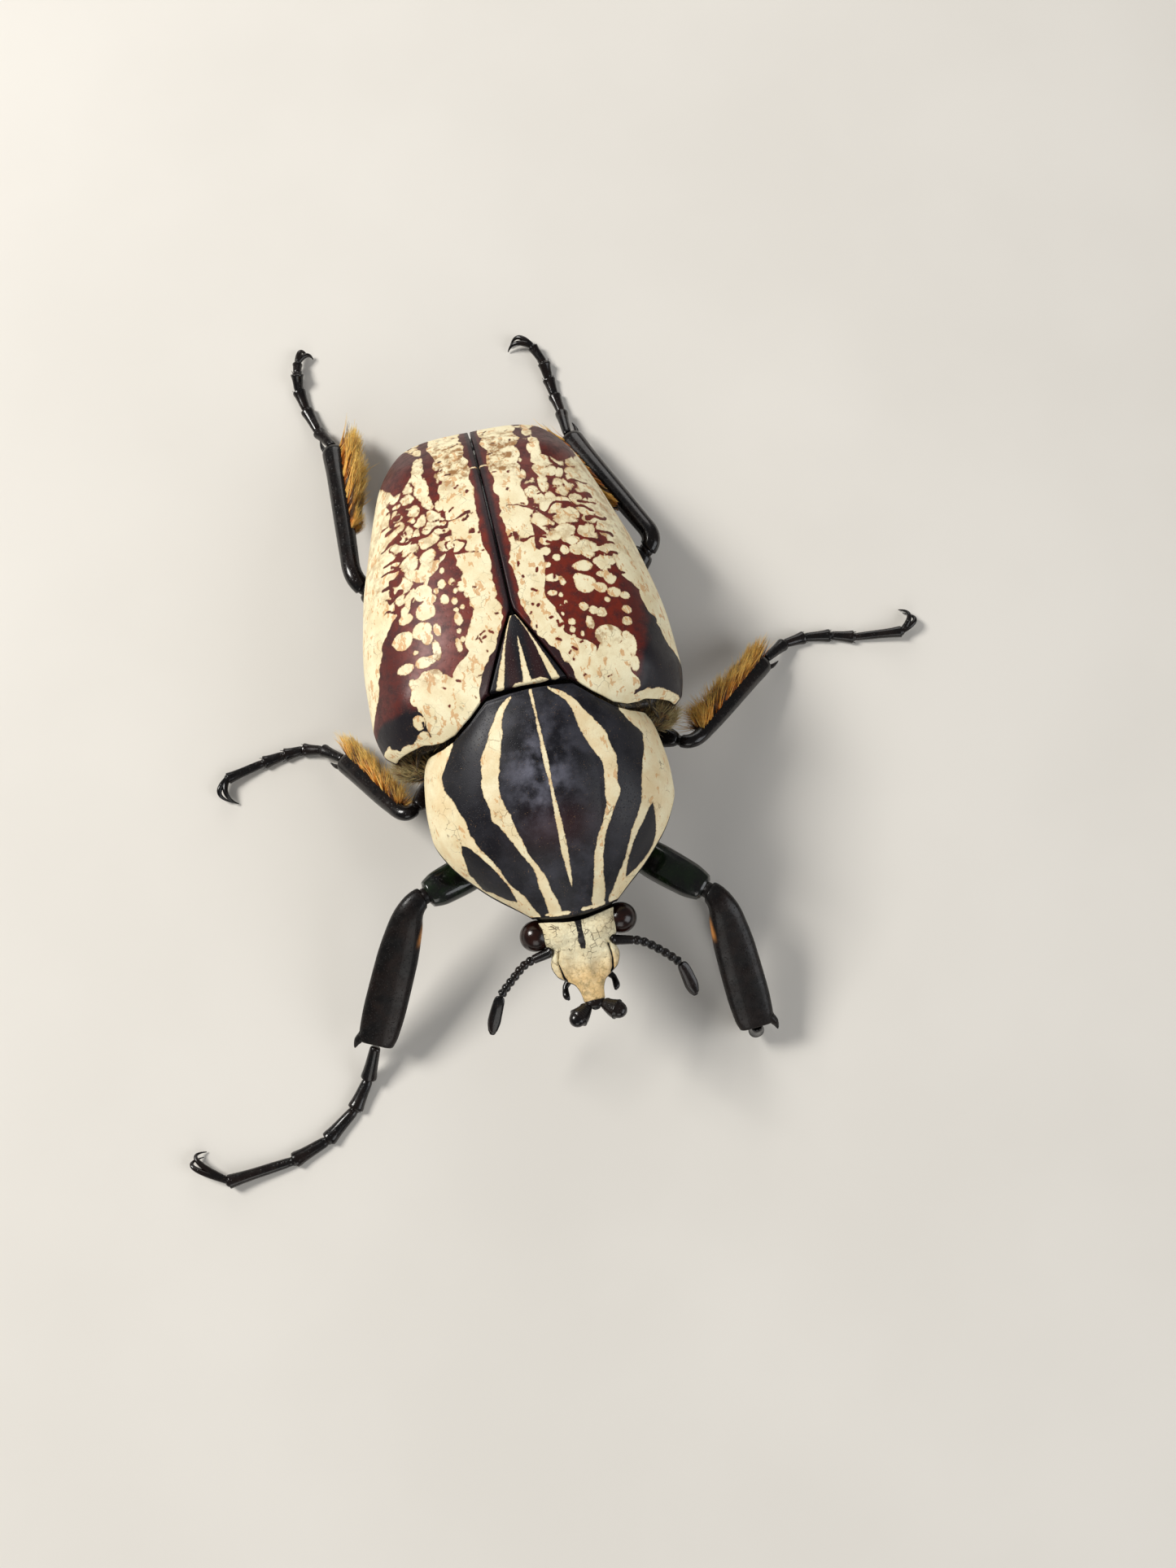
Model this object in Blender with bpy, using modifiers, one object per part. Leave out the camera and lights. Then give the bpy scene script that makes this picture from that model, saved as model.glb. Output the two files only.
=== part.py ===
"""Goliath beetle at life size, standing: trunk, shell plates, head and six legs as closed solids.

Sizes are in millimetres. The trunk is laid out in its own frame (x to the beetle's left, y to the rear,
z up from the underside) and is then pitched and lifted; the legs are laid out over the ground.
"""
import math

import bmesh
import bpy
from mathutils import Matrix, Vector

# Driving dimensions, in millimetres
MM = 0.001
GAP = 0.3
HALF_GAP = GAP / 2
PLATE = 1.3
PLATE_CLEARANCE = PLATE + 0.5
BODY_PITCH = math.radians(7.0)
BODY_LIFT = 7.2
ORIGIN = Vector((0.05, 7.95, 0.0))

# Shell over the hind body: (y, value) stations
SHELL_HALF_WIDTH = [(-4.6, 19.2), (-2.5, 21.4), (2, 22.3), (8, 22.2), (20, 20.4), (27.5, 18.3), (33, 16.6),
                    (37.5, 15.0), (41.2, 12.9), (44.2, 10.4)]
SHELL_CROWN = [(-4.6, 24.6), (0, 25.9), (9, 26.9), (18, 26.6), (27, 25.0), (34, 22.3), (39, 19.4), (42, 16.8),
               (44.2, 14.4)]
MARGIN_LEVEL = [(-4.6, 13.4), (5, 12.0), (25, 11.6), (36, 11.9), (44.2, 11.5)]
BELLY_LEVEL = [(-4, 1.8), (3, 0.2), (18, 0.0), (28, 1.0), (36, 3.4), (42, 6.4)]
SHELL_ROUND = 2.25
BELLY_ROUND = 1.7
SHOULDER_KNOB = (17.2, 1.5, 2.6, 3.4, 0.7)
TAIL_KNOB = (9.6, 37.0, 2.7, 2.7, 1.1)
SHELL_END = 43.9
SHELL_END_OUTER = 42.2
SHELL_END_BOW = 0.9
SHELL_START = -0.6
SHELL_START_OUTER = -4.3
SHELL_FRONT_FADE = 6
SHELL_FRONT_PLAY = 0.1
SHELL_FRONT_DROP = 1.9
SHELL_DROP_FADE = 18

# Scutellum, the triangle between the shell plates
SCUTELLUM_HALF_WIDTH = 5.3
SCUTELLUM_BASE = -0.6
SCUTELLUM_TIP = 10.0
SCUTELLUM_SEAM = 0.42
SCUTELLUM_BLUNT = 0.9
SCUTELLUM_PROUD = 0.1
SCUTELLUM_TAPER = 0.96

# Pronotum: its rear edge as (share across, y), the rest as (share of the way to the rear edge, value)
PRONOTUM_FRONT = -30.3
PRONOTUM_FRONT_SIDE = -28.9
PRONOTUM_REAR = [(0, -1.0), (0.38, -1.15), (0.53, -3.0), (0.68, -4.6), (0.85, -5.0), (1, -4.4)]
PRONOTUM_HALF_WIDTH = [(0, 5.9), (0.06, 7.6), (0.2, 11.6), (0.4, 15.7), (0.55, 17.2), (0.66, 17.3),
                       (0.85, 16.8), (0.95, 16.2), (1, 15.5)]
PRONOTUM_CROWN = [(0, 13.4), (0.15, 17.2), (0.4, 21.8), (0.7, 25.0), (0.9, 25.8), (1, 25.4)]
PRONOTUM_MARGIN = [(0, 10.4), (0.3, 11.4), (0.6, 12.2), (0.85, 13.4), (1, 14.0)]
PRONOTUM_ROUND = (2.1, 0.62)
PRONOTUM_RIM = 0.7
PROTHORAX_INSET = 0.7
PROTHORAX_RIM = 0.6
PROTHORAX_BELLY = [(0, 6.2), (0.3, 4.0), (0.7, 2.4), (1, 2.2)]

# Hind body under the shell plates
THORAX_REAR = 17.0
SHOULDER_REACH = 1.9
SHOULDER_STEP = (1.5, 1.2)
CORE_SHIFT = [(-3, -1.2), (3, 0.0), (30, 0.0), (42, 1.9)]
WAIST_PLAY = 0.35
WAIST_DROP = 3.0
WAIST_DROP_FADE = 6
WAIST_DROP_POWER = 14
WAIST_HALF_WIDTH = 18.3
ABDOMEN_END = 41.2
ABDOMEN_PLATES = 5
PLATE_STEP = 0.35
PLATE_BEVEL = 0.14
CORE_RIM = 0.5
# Last plate of the abdomen: (y, half-width, top, bottom)
PYGIDIUM = [(41.5, 9.2, 12.4, 6.6), (42.6, 8.8, 12.3, 6.6), (43.8, 7.2, 11.9, 7.0), (44.8, 4.6, 11.0, 7.8),
            (45.3, 1.6, 10.0, 9.0)]
PYGIDIUM_ROUND = 2.2

# Head: (y, value) stations
NECK = -30.7
NECK_CURVE = 1.4
CLYPEUS_END = -41.6
HEAD_HALF_WIDTH = [(-41.6, 1.45), (-40.2, 1.6), (-38.8, 2.2), (-37.9, 3.4), (-37.0, 4.5), (-35.4, 4.9),
                   (-33.8, 4.5), (-32.9, 3.95), (-31.8, 4.6), (-30.7, 4.95)]
HEAD_TOP = [(-41.9, 9.4), (-38.5, 8.9), (-35, 10.1), (-32.5, 11.6), (-30.75, 12.3)]
HEAD_BOTTOM = [(-41.9, 7.7), (-39, 6.6), (-36, 5.4), (-33, 4.6), (-30.75, 5.2)]
HEAD_ROUND = 2.8
HEAD_ROWS = 18
EYE_PLACE = Vector((5.5, -31.1, 8.5))
EYE_RADII = Vector((2.6, 1.72, 2.4))
MENTUM = [(-33.4, 1.7), (-35.0, 2.5), (-37.0, 2.6), (-38.4, 1.7)]
MENTUM_DEPTH = 1.5
PALP = [((1.6, -36.4, 4.2), 0.45), ((2.8, -37.3, 3.9), 0.5), ((3.5, -38.2, 3.9), 0.42),
        ((3.6, -39.2, 4.1), 0.5), ((3.3, -40.0, 4.2), 0.25)]

# Fork of the horn, as points along its left arm, with the radius there
HORN_ROOT = [((0, -41.9, 8.6), 1.4), ((0, -42.5, 8.7), 1.3), ((0, -43.1, 8.8), 0.8)]
HORN_ARM = [((0.6, -42.75, 8.8), 0.6), ((1.35, -43.0, 9.0), 0.8), ((2.1, -43.4, 9.4), 1.05),
            ((2.9, -43.9, 9.8), 1.2), ((3.5, -44.4, 10.1), 0.7)]
HORN_FLAT = 0.85
HORN_STEM_FLAT = 0.6
HORN_SIDES = 12

# Legs over the ground: joints in millimetres, from hip to the ends of the five tarsus segments and the claw
LEGS = {
    "fore_right": dict(hip=(-6.2, -15.8, 10.8), knee=(-22.3, -21.0, 14.5), ankle=(-32.1, -39.1, 4.4),
                       toes=[(-34.5, -43.7, 1.3), (-37.4, -47.6, 0.55), (-42.2, -51.1, 0.55),
                             (-47.6, -52.9, 0.55), (-57.8, -53.8, 1.3)], claw=(-61.4, -50.2, 1.6), claw_tip=(-60.0, -49.2, 0.3)),
    "fore_left": dict(hip=(6.2, -15.8, 10.8), knee=(20.9, -29.6, 14.5), ankle=(22.9, -48.6, 5.4),
                      toes=[(23.1, -50.0, 2.3), (22.7, -46.9, 0.55), (22.3, -42.6, 0.55), (22.0, -39.0, 0.55),
                            (21.7, -32.0, 1.3)], claw=(21.2, -28.6, 1.6), claw_tip=(20.9, -28.2, 0.3)),
    "mid_right": dict(hip=(-5.8, 3.4, 6.0), knee=(-20.6, -8.8, 14.0), ankle=(-28.5, 3.5, 3.8),
                      toes=[(-31.7, 6.2, 1.3), (-34.6, 7.0, 0.55), (-37.6, 6.8, 0.55), (-40.9, 6.3, 0.55),
                            (-47.1, 4.8, 1.2)], claw=(-47.6, 2.7, 1.5), claw_tip=(-46.1, 1.1, 0.3)),
    "mid_left": dict(hip=(5.8, 3.4, 6.0), knee=(22.4, -6.8, 12.6), ankle=(37.1, 5.1, 3.8),
                     toes=[(41.2, 7.5, 1.3), (44.7, 8.0, 0.55), (48.8, 7.4, 0.55), (52.3, 6.4, 0.55),
                           (60.2, 5.5, 1.2)], claw=(61.7, 7.3, 1.5), claw_tip=(60.5, 8.9, 0.3)),
    "hind_right": dict(hip=(-7.0, 13.2, 4.0), knee=(-21.4, 28.7, 10.8), ankle=(-20.7, 52.4, 3.8),
                       toes=[(-22.6, 56.3, 1.3), (-23.8, 60.6, 0.55), (-24.4, 64.0, 0.6), (-24.0, 66.3, 1.9),
                             (-23.6, 68.5, 1.3)], claw=(-22.4, 69.7, 1.2), claw_tip=(-21.5, 69.1, 0.3)),
    "hind_left": dict(hip=(7.0, 13.2, 4.0), knee=(24.1, 25.0, 11.7), ankle=(15.5, 46.7, 3.8),
                      toes=[(15.5, 51.6, 1.3), (15.1, 54.9, 0.55), (14.8, 57.8, 0.55), (14.6, 60.4, 1.1),
                            (13.2, 63.7, 1.3)], claw=(11.2, 64.8, 1.4), claw_tip=(9.7, 64.0, 0.3)),
}
COXA_RADII = {"fore": (3.9, 3.0, 2.9), "mid": (3.5, 2.9, 2.6), "hind": (4.4, 3.2, 2.5)}
COXA_REACH = {"fore": 2.4, "mid": 2.2, "hind": 2.6}
# Half-width and half-thickness along each femur and tibia
FEMUR = {
    "fore": [(0, 1.5, 1.4), (0.15, 2.1, 1.7), (0.5, 2.75, 1.9), (0.8, 2.6, 1.8), (0.95, 2.1, 1.5),
             (1, 1.7, 1.3)],
    "mid": [(0, 1.4, 1.3), (0.2, 1.8, 1.5), (0.55, 2.2, 1.7), (0.85, 1.7, 1.3), (1, 0.95, 0.9)],
    "hind": [(0, 1.5, 1.3), (0.2, 1.9, 1.5), (0.55, 2.4, 1.6), (0.85, 2.2, 1.6), (1, 1.6, 1.3)],
}
TIBIA = {
    "fore": [(0, 1.5, 1.2), (0.1, 1.9, 1.25), (0.22, 2.5, 1.25), (0.45, 3.0, 1.2), (0.75, 3.1, 1.15),
             (0.92, 2.9, 1.1), (1, 2.5, 0.9)],
    "mid": [(0, 0.95, 0.9), (0.12, 1.1, 1.1), (0.4, 1.45, 1.3), (0.8, 1.65, 1.45), (0.95, 1.75, 1.4),
            (1, 1.4, 1.1)],
    "hind": [(0, 1.4, 1.25), (0.12, 1.4, 1.25), (0.4, 1.5, 1.3), (0.8, 1.62, 1.4), (0.95, 1.8, 1.4),
             (1, 1.45, 1.1)],
}
LIMB_ROUND = 2.15
KNEE_BACK = 2.2
KNEE_BEND = 2.8
TARSUS_BASE = 0.66
TARSUS_SEGMENT = [(0.12, 0.55), (0.55, 0.63), (0.93, 0.85)]
TARSUS_FLAT = 0.9
CLAW_RADIUS = 0.42
CLAW_SPREAD = 0.75
CLAW_TURN = math.radians(135)
CLAW_TAPER = 0.8
SPUR_LENGTH = 3.0
SPUR_RADIUS = 0.45
TOOTH_LENGTH = 2.6
TOOTH_RADIUS = 0.8
SPINE_INSET = 0.9
SPINE_SPLAY = 0.9
SPINE_ROOT = 0.45
SPINE_TIP = 0.08
# Brush on the mid and hind tibiae: (share of the tibia, reach of the locks beyond its edge)
BRUSH_COUNT = {"mid": 10, "hind": 13}
BRUSH_REACH = {"mid": [(0.14, 2.3), (0.3, 2.9), (0.7, 2.5), (0.92, 1.6)],
               "hind": [(0.3, 1.8), (0.5, 3.5), (0.8, 4.0), (0.96, 2.8)]}
LOCK_SINK = 0.9
LOCK_LEAN = 0.5
LOCK_CURL = 0.42
LOCK_VARY = 0.08
# Half-width and half-thickness of a lock from root to tip
LOCK_FORM = [(0.6, 0.3), (0.78, 0.28), (0.6, 0.26), (0.1, 0.08)]
LOCK_SIDES = 4

# Antennae over the ground, with the radius at each point
ANTENNA = {
    "right": [((-5.2, -32.4, 20.0), 0.72), ((-7.9, -33.0, 19.6), 0.6), ((-10.6, -34.9, 18.6), 0.58),
              ((-12.6, -36.6, 17.6), 0.62), ((-13.0, -37.4, 17.3), 0.85), ((-14.1, -39.6, 16.1), 0.95),
              ((-14.9, -41.5, 15.0), 0.45)],
    "left": [((4.95, -32.6, 20.0), 0.7), ((7.8, -33.3, 19.5), 0.6), ((10.8, -35.4, 18.4), 0.58),
             ((13.0, -37.5, 17.2), 0.62), ((13.3, -38.2, 16.8), 0.85), ((13.9, -40.5, 15.6), 0.95),
             ((14.3, -42.3, 14.5), 0.45)],
}

# Resolution of the solids
SHELL_ROWS = 20
SHELL_COLUMNS = 10
THORAX_ROWS = 8
CORE_COLUMNS = 18
DOME_ROWS = 12
DOME_COLUMNS = 16
LIMB_SIDES = 10
TARSUS_SIDES = 8
FINE_SIDES = 6
EYE_GRID = (16, 10)
COXA_GRID = (12, 7)
SCUTELLUM_GRID = 6
FEMUR_ROWS = 8
TIBIA_ROWS = 7
KNEE_ROWS = 4
CLAW_ROWS = 5

MATERIALS = {
    "shell_plate": ((0.80, 0.72, 0.52), 0.42),
    "pronotum": ((0.02, 0.02, 0.03), 0.45),
    "cuticle": ((0.012, 0.011, 0.010), 0.22),
    "head_crust": ((0.76, 0.66, 0.46), 0.60),
    "eye": ((0.05, 0.015, 0.01), 0.12),
}


def material(name):
    """The Principled material of one finish, made once."""
    found = bpy.data.materials.get(name)
    if found:
        return found
    color, roughness = MATERIALS[name]
    made = bpy.data.materials.new(name)
    made.use_nodes = True
    shader = made.node_tree.nodes["Principled BSDF"]
    shader.inputs["Base Color"].default_value = (*color, 1)
    shader.inputs["Roughness"].default_value = roughness
    return made


def collection(name):
    """A new collection in the scene."""
    made = bpy.data.collections.new(name)
    bpy.context.scene.collection.children.link(made)
    return made


def along(stations, t):
    """The value at t on the smooth curve through the (t, value) stations, with no overshoot."""
    if t <= stations[0][0]:
        return stations[0][1]
    if t >= stations[-1][0]:
        return stations[-1][1]
    slopes = [(b[1] - a[1]) / (b[0] - a[0]) for a, b in zip(stations, stations[1:])]
    k = next(i for i in range(len(slopes)) if t <= stations[i + 1][0])

    def tangent(i):
        if i == 0:
            return slopes[0]
        if i == len(slopes):
            return slopes[-1]
        before, after = slopes[i - 1], slopes[i]
        return 0 if before * after <= 0 else 2 * before * after / (before + after)

    (t0, v0), (t1, v1) = stations[k], stations[k + 1]
    span = t1 - t0
    s = (t - t0) / span
    blend = 3 * s * s - 2 * s ** 3
    rise = (s ** 3 - 2 * s * s + s) * span * tangent(k) + (s ** 3 - s * s) * span * tangent(k + 1)
    return v0 * (1 - blend) + v1 * blend + rise


def column(stations, index):
    """One column of a table of stations, as (t, value) pairs."""
    return [(row[0], row[index]) for row in stations]


def bump(x, y, knob):
    """Height at (x, y) of a low round knob given as (x, y, reach across, reach along, height)."""
    cx, cy, rx, ry, height = knob
    return height * math.exp(-((x - cx) / rx) ** 2 - ((y - cy) / ry) ** 2)


def trunk_to_ground():
    """The trunk's frame over the ground: pitched head up, then lifted."""
    return Matrix.Translation((0, 0, BODY_LIFT)) @ Matrix.Rotation(-BODY_PITCH, 4, "X")


def new_object(name, bm, finish):
    """An object in metres from a bmesh in millimetres, with the origin under the middle of the beetle."""
    bmesh.ops.recalc_face_normals(bm, faces=bm.faces)
    bmesh.ops.transform(bm, matrix=Matrix.Scale(MM, 4) @ Matrix.Translation(-ORIGIN), verts=bm.verts)
    mesh = bpy.data.meshes.new(name)
    bm.to_mesh(mesh)
    bm.free()
    mesh.shade_smooth()
    made = bpy.data.objects.new(name, mesh)
    made.data.materials.append(material(finish))
    PARTS.objects.link(made)
    return made


def loft_bmesh(rings, frame=None):
    """A closed loft through rings of an even count of points, its ends closed by rungs across each ring."""
    bm = bmesh.new()
    rows = [[bm.verts.new(p) for p in ring] for ring in rings]
    sides = len(rows[0])
    for low, high in zip(rows, rows[1:]):
        for i in range(sides):
            j = (i + 1) % sides
            bm.faces.new((low[i], low[j], high[j], high[i]))
    for ring in (rows[0], rows[-1]):
        for i in range(sides // 2 - 1):
            bm.faces.new((ring[i], ring[i + 1], ring[sides - 2 - i], ring[sides - 1 - i]))
    if frame:
        bmesh.ops.transform(bm, matrix=frame, verts=bm.verts)
    return bm


def slab_bmesh(top, bottom, frame=None):
    """A closed slab between two grids of points with the same rows and columns."""
    bm = bmesh.new()
    upper = [[bm.verts.new(p) for p in row] for row in top]
    lower = [[bm.verts.new(p) for p in row] for row in bottom]
    rows, columns = len(upper), len(upper[0])
    for i in range(rows - 1):
        for j in range(columns - 1):
            for grid in (upper, lower):
                bm.faces.new((grid[i][j], grid[i][j + 1], grid[i + 1][j + 1], grid[i + 1][j]))
    border = [(i, 0) for i in range(rows)] + [(rows - 1, j) for j in range(1, columns)]
    border += [(i, columns - 1) for i in range(rows - 2, -1, -1)]
    border += [(0, j) for j in range(columns - 2, 0, -1)]
    for (a, b), (c, d) in zip(border, border[1:] + border[:1]):
        bm.faces.new((upper[a][b], upper[c][d], lower[c][d], lower[a][b]))
    if frame:
        bmesh.ops.transform(bm, matrix=frame, verts=bm.verts)
    return bm


def ellipse_power(angle, power):
    """Cosine and sine of an angle on a superellipse of the given power."""
    c, s = math.cos(angle), math.sin(angle)
    return math.copysign(abs(c) ** (2 / power), c), math.copysign(abs(s) ** (2 / power), s)


def shell_point(angle, y):
    """A point of the shell's outer surface, at an angle from the crown (0) to the margin (a right angle)."""
    margin = along(MARGIN_LEVEL, y)
    up, out = ellipse_power(angle, SHELL_ROUND)
    x = along(SHELL_HALF_WIDTH, y) * out
    z = margin + (along(SHELL_CROWN, y) - margin) * up
    return Vector((x, y, z + bump(x, y, SHOULDER_KNOB) + bump(x, y, TAIL_KNOB)))


def shell_angle(x, y):
    """The angle on the shell's section at which it is x away from the middle."""
    share = min(1.0, x / along(SHELL_HALF_WIDTH, y))
    return math.asin(share ** (SHELL_ROUND / 2))


def scutellum_side(y):
    """Half-width of the scutellum at y."""
    share = (SCUTELLUM_TIP - y) / (SCUTELLUM_TIP - SCUTELLUM_BASE)
    return max(0.0, SCUTELLUM_HALF_WIDTH * share)


def shell_front(angle):
    """The front edge of the shell plates at an angle of their section: along the pronotum."""
    y = PRONOTUM_REAR[-1][1]
    for _ in range(5):
        share = min(1.0, shell_point(angle, y).x / PRONOTUM_HALF_WIDTH[-1][1])
        y = pronotum_rear(share) + GAP + SHELL_FRONT_PLAY
    return y


def elytron(side, sign):
    """One shell plate: an open sheet over the hind body, thickened inwards."""
    bm = bmesh.new()
    grid = []
    for i in range(SHELL_ROWS + 1):
        v = i / SHELL_ROWS
        inner_y = SHELL_START + (SHELL_END - SHELL_START) * v
        outer_y = SHELL_START_OUTER + (SHELL_END_OUTER - SHELL_START_OUTER) * v
        inner_x = max(HALF_GAP, scutellum_side(inner_y) + SCUTELLUM_SEAM)
        start = shell_angle(inner_x, inner_y)
        row = []
        for j in range(SHELL_COLUMNS + 1):
            s = j / SHELL_COLUMNS
            angle = start + (math.pi / 2 - start) * s
            y = inner_y + (outer_y - inner_y) * s + SHELL_END_BOW * v ** 4 * math.sin(math.pi * s)
            first_y = SHELL_START + (SHELL_START_OUTER - SHELL_START) * s
            y += (shell_front(angle) - first_y) * (1 - v) ** SHELL_FRONT_FADE
            point = shell_point(angle, y)
            point.z -= SHELL_FRONT_DROP * math.sin(math.pi * s) * (1 - v) ** SHELL_DROP_FADE
            if j == 0:
                point.x = inner_x
            row.append(bm.verts.new((sign * point.x, point.y, point.z)))
        grid.append(row)
    for a, b in zip(grid, grid[1:]):
        for j in range(SHELL_COLUMNS):
            corners = (a[j], a[j + 1], b[j + 1], b[j])
            bm.faces.new(corners if sign > 0 else corners[::-1])
    bmesh.ops.transform(bm, matrix=trunk_to_ground(), verts=bm.verts)
    made = new_object(f"elytron_{side}", bm, "shell_plate")
    if made.data.polygons[0].normal.z < 0:
        made.data.flip_normals()
    wall = made.modifiers.new("wall", "SOLIDIFY")
    wall.thickness = PLATE * MM
    wall.offset = -1
    wall.use_even_offset = True
    return made


def scutellum():
    top, bottom = [], []
    for i in range(SCUTELLUM_GRID + 1):
        y = SCUTELLUM_BASE + (SCUTELLUM_TIP - SCUTELLUM_BLUNT - SCUTELLUM_BASE) * i / SCUTELLUM_GRID
        half = scutellum_side(y)
        upper, lower = [], []
        for j in range(SCUTELLUM_GRID + 1):
            share = -1 + 2 * j / SCUTELLUM_GRID
            point = shell_point(shell_angle(abs(share) * half, y), y)
            upper.append(Vector((share * half, y, point.z + SCUTELLUM_PROUD)))
            lower.append(Vector((share * half * SCUTELLUM_TAPER, y, point.z - PLATE)))
        top.append(upper)
        bottom.append(lower)
    return new_object("scutellum", slab_bmesh(top, bottom, trunk_to_ground()), "pronotum")


def pronotum_rear(u):
    """The rear edge of the pronotum at u, on the straight pieces between its columns."""
    step = math.asin(abs(u)) / math.pi * DOME_COLUMNS
    number = min(int(step), DOME_COLUMNS // 2 - 1)
    low, high = (math.sin(math.pi * k / DOME_COLUMNS) for k in (number, number + 1))
    share = (abs(u) - low) / (high - low)
    return along(PRONOTUM_REAR, low) * (1 - share) + along(PRONOTUM_REAR, high) * share


def pronotum_y(u, v):
    """Place along the body of a point u across (-1 to 1) and v back (0 to 1) on the pronotum."""
    front = PRONOTUM_FRONT + (PRONOTUM_FRONT_SIDE - PRONOTUM_FRONT) * u * u
    return front + (pronotum_rear(u) - front) * v


def prothorax_grid(height, narrow=0.0):
    """Rows of points over the prothorax, at the height that a function of (u, v) gives."""
    grid = []
    for i in range(DOME_ROWS + 1):
        v = i / DOME_ROWS
        half = along(PRONOTUM_HALF_WIDTH, v) - narrow
        row = []
        for j in range(DOME_COLUMNS + 1):
            angle = math.pi / 2 * (-1 + 2 * j / DOME_COLUMNS)
            u = math.sin(angle)
            row.append(Vector((half * u, pronotum_y(u, v), height(u, v))))
        grid.append(row)
    return grid


def pronotum_height(u, v):
    margin = along(PRONOTUM_MARGIN, v)
    rise = along(PRONOTUM_CROWN, v) - margin
    return margin + rise * (1 - abs(u) ** PRONOTUM_ROUND[0]) ** PRONOTUM_ROUND[1]


def pronotum():
    top = prothorax_grid(pronotum_height)
    bottom = prothorax_grid(lambda u, v: along(PRONOTUM_MARGIN, v) - PRONOTUM_RIM)
    return new_object("pronotum", slab_bmesh(top, bottom, trunk_to_ground()), "pronotum")


def prothorax_underside():
    def ceiling(u, v):
        return along(PRONOTUM_MARGIN, v) - PRONOTUM_RIM - GAP

    def belly(u, v):
        upper = ceiling(u, v) - PROTHORAX_RIM
        depth = upper - along(PROTHORAX_BELLY, v)
        return upper - depth * (1 - abs(u) ** BELLY_ROUND) ** (1 / BELLY_ROUND)

    top = prothorax_grid(ceiling, PROTHORAX_INSET)
    bottom = prothorax_grid(belly, PROTHORAX_INSET)
    return new_object("prothorax_underside", slab_bmesh(top, bottom, trunk_to_ground()), "cuticle")


def waist_y(x):
    """The front face of the hind body at x: behind the prothorax, and forward again at the shoulders."""
    corner = PRONOTUM_HALF_WIDTH[-1][1]
    beyond = (abs(x) - corner - SHOULDER_STEP[0]) / SHOULDER_STEP[1]
    rear = pronotum_rear(min(1.0, abs(x) / corner)) + GAP + WAIST_PLAY
    return rear - SHOULDER_REACH * min(1.0, max(0.0, beyond))


def core_point(u, y, upper):
    """A point of the hind body under the shell plates, u across, on its back or on its belly."""
    shell_y = y + along(CORE_SHIFT, y)
    half = along(SHELL_HALF_WIDTH, shell_y) - PLATE_CLEARANCE
    margin = along(MARGIN_LEVEL, shell_y)
    power = SHELL_ROUND if upper else BELLY_ROUND
    share = (1 - min(1.0, abs(u)) ** power) ** (1 / power)
    if upper:
        crown = along(SHELL_CROWN, shell_y) - PLATE_CLEARANCE
        return Vector((half * u, y, margin + (crown - margin) * share))
    return Vector((half * u, y, margin - CORE_RIM - (margin - CORE_RIM - along(BELLY_LEVEL, y)) * share))


def core_row(rear_y, share, upper):
    """A row of points across the hind body, share of the way from the waist to rear_y."""
    row = []
    for j in range(CORE_COLUMNS + 1):
        u = math.sin(math.pi / 2 * (-1 + 2 * j / CORE_COLUMNS))
        front = waist_y(WAIST_HALF_WIDTH * u)
        point = core_point(u, front + (rear_y - front) * share, upper)
        if upper:
            point.z -= WAIST_DROP * (1 - u ** WAIST_DROP_POWER) * (1 - share) ** WAIST_DROP_FADE
        row.append(point)
    return row


def thorax_underside():
    shares = [i / (THORAX_ROWS - 1) for i in range(THORAX_ROWS)]
    top = [core_row(THORAX_REAR, share, True) for share in shares]
    bottom = [core_row(THORAX_REAR, share, False) for share in shares]
    return new_object("thorax_underside", slab_bmesh(top, bottom, trunk_to_ground()), "cuticle")


def abdomen():
    """The hind body behind the thorax, each belly plate lapping a little over the next."""
    top, bottom = [], []
    start = THORAX_REAR + GAP
    step = (ABDOMEN_END - start) / ABDOMEN_PLATES
    for plate in range(ABDOMEN_PLATES):
        for share, rise in ((0.0, PLATE_STEP), (PLATE_BEVEL, 0.0)):
            y = start + step * (plate + share)
            top.append(core_row(y, 1.0, True))
            lower = core_row(y, 1.0, False)
            for point in lower[3:-3]:
                point.z += rise if plate > 0 else 0.0
            bottom.append(lower)
    top.append(core_row(ABDOMEN_END, 1.0, True))
    bottom.append(core_row(ABDOMEN_END, 1.0, False))
    return new_object("abdomen", slab_bmesh(top, bottom, trunk_to_ground()), "cuticle")


def pygidium():
    rings = [oval_ring(y, half, top, bottom, PYGIDIUM_ROUND) for y, half, top, bottom in PYGIDIUM]
    return new_object("pygidium", loft_bmesh(rings, trunk_to_ground()), "cuticle")


def oval_ring(y, half, top, bottom, power, sides=16):
    """An upright oval section across the body, started so that its rungs are upright."""
    ring = []
    for k in range(sides):
        out, up = ellipse_power(2 * math.pi * (k + 0.5) / sides, power)
        ring.append(Vector((half * out, y, (top + bottom) / 2 + (top - bottom) / 2 * up)))
    return ring


def head():
    rings = []
    for i in range(HEAD_ROWS + 1):
        y = NECK + (CLYPEUS_END - NECK) * i / HEAD_ROWS
        fade = max(0.0, 1 - 4 * i / HEAD_ROWS)
        half, top, bottom = (along(line, y) for line in (HEAD_HALF_WIDTH, HEAD_TOP, HEAD_BOTTOM))
        section = oval_ring(y, half, top, bottom, HEAD_ROUND)
        for point in section:
            point.y += fade * NECK_CURVE * (point.x / PRONOTUM_HALF_WIDTH[0][1]) ** 2
        rings.append(section)
    made = new_object("head", loft_bmesh(rings, trunk_to_ground()), "head_crust")
    for sign in (-1, 1):
        cut(made, ball(f"eye_cutter_{sign}", eye_frame(sign, GAP), CUTTERS, "eye", *EYE_GRID))
    return made


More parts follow.
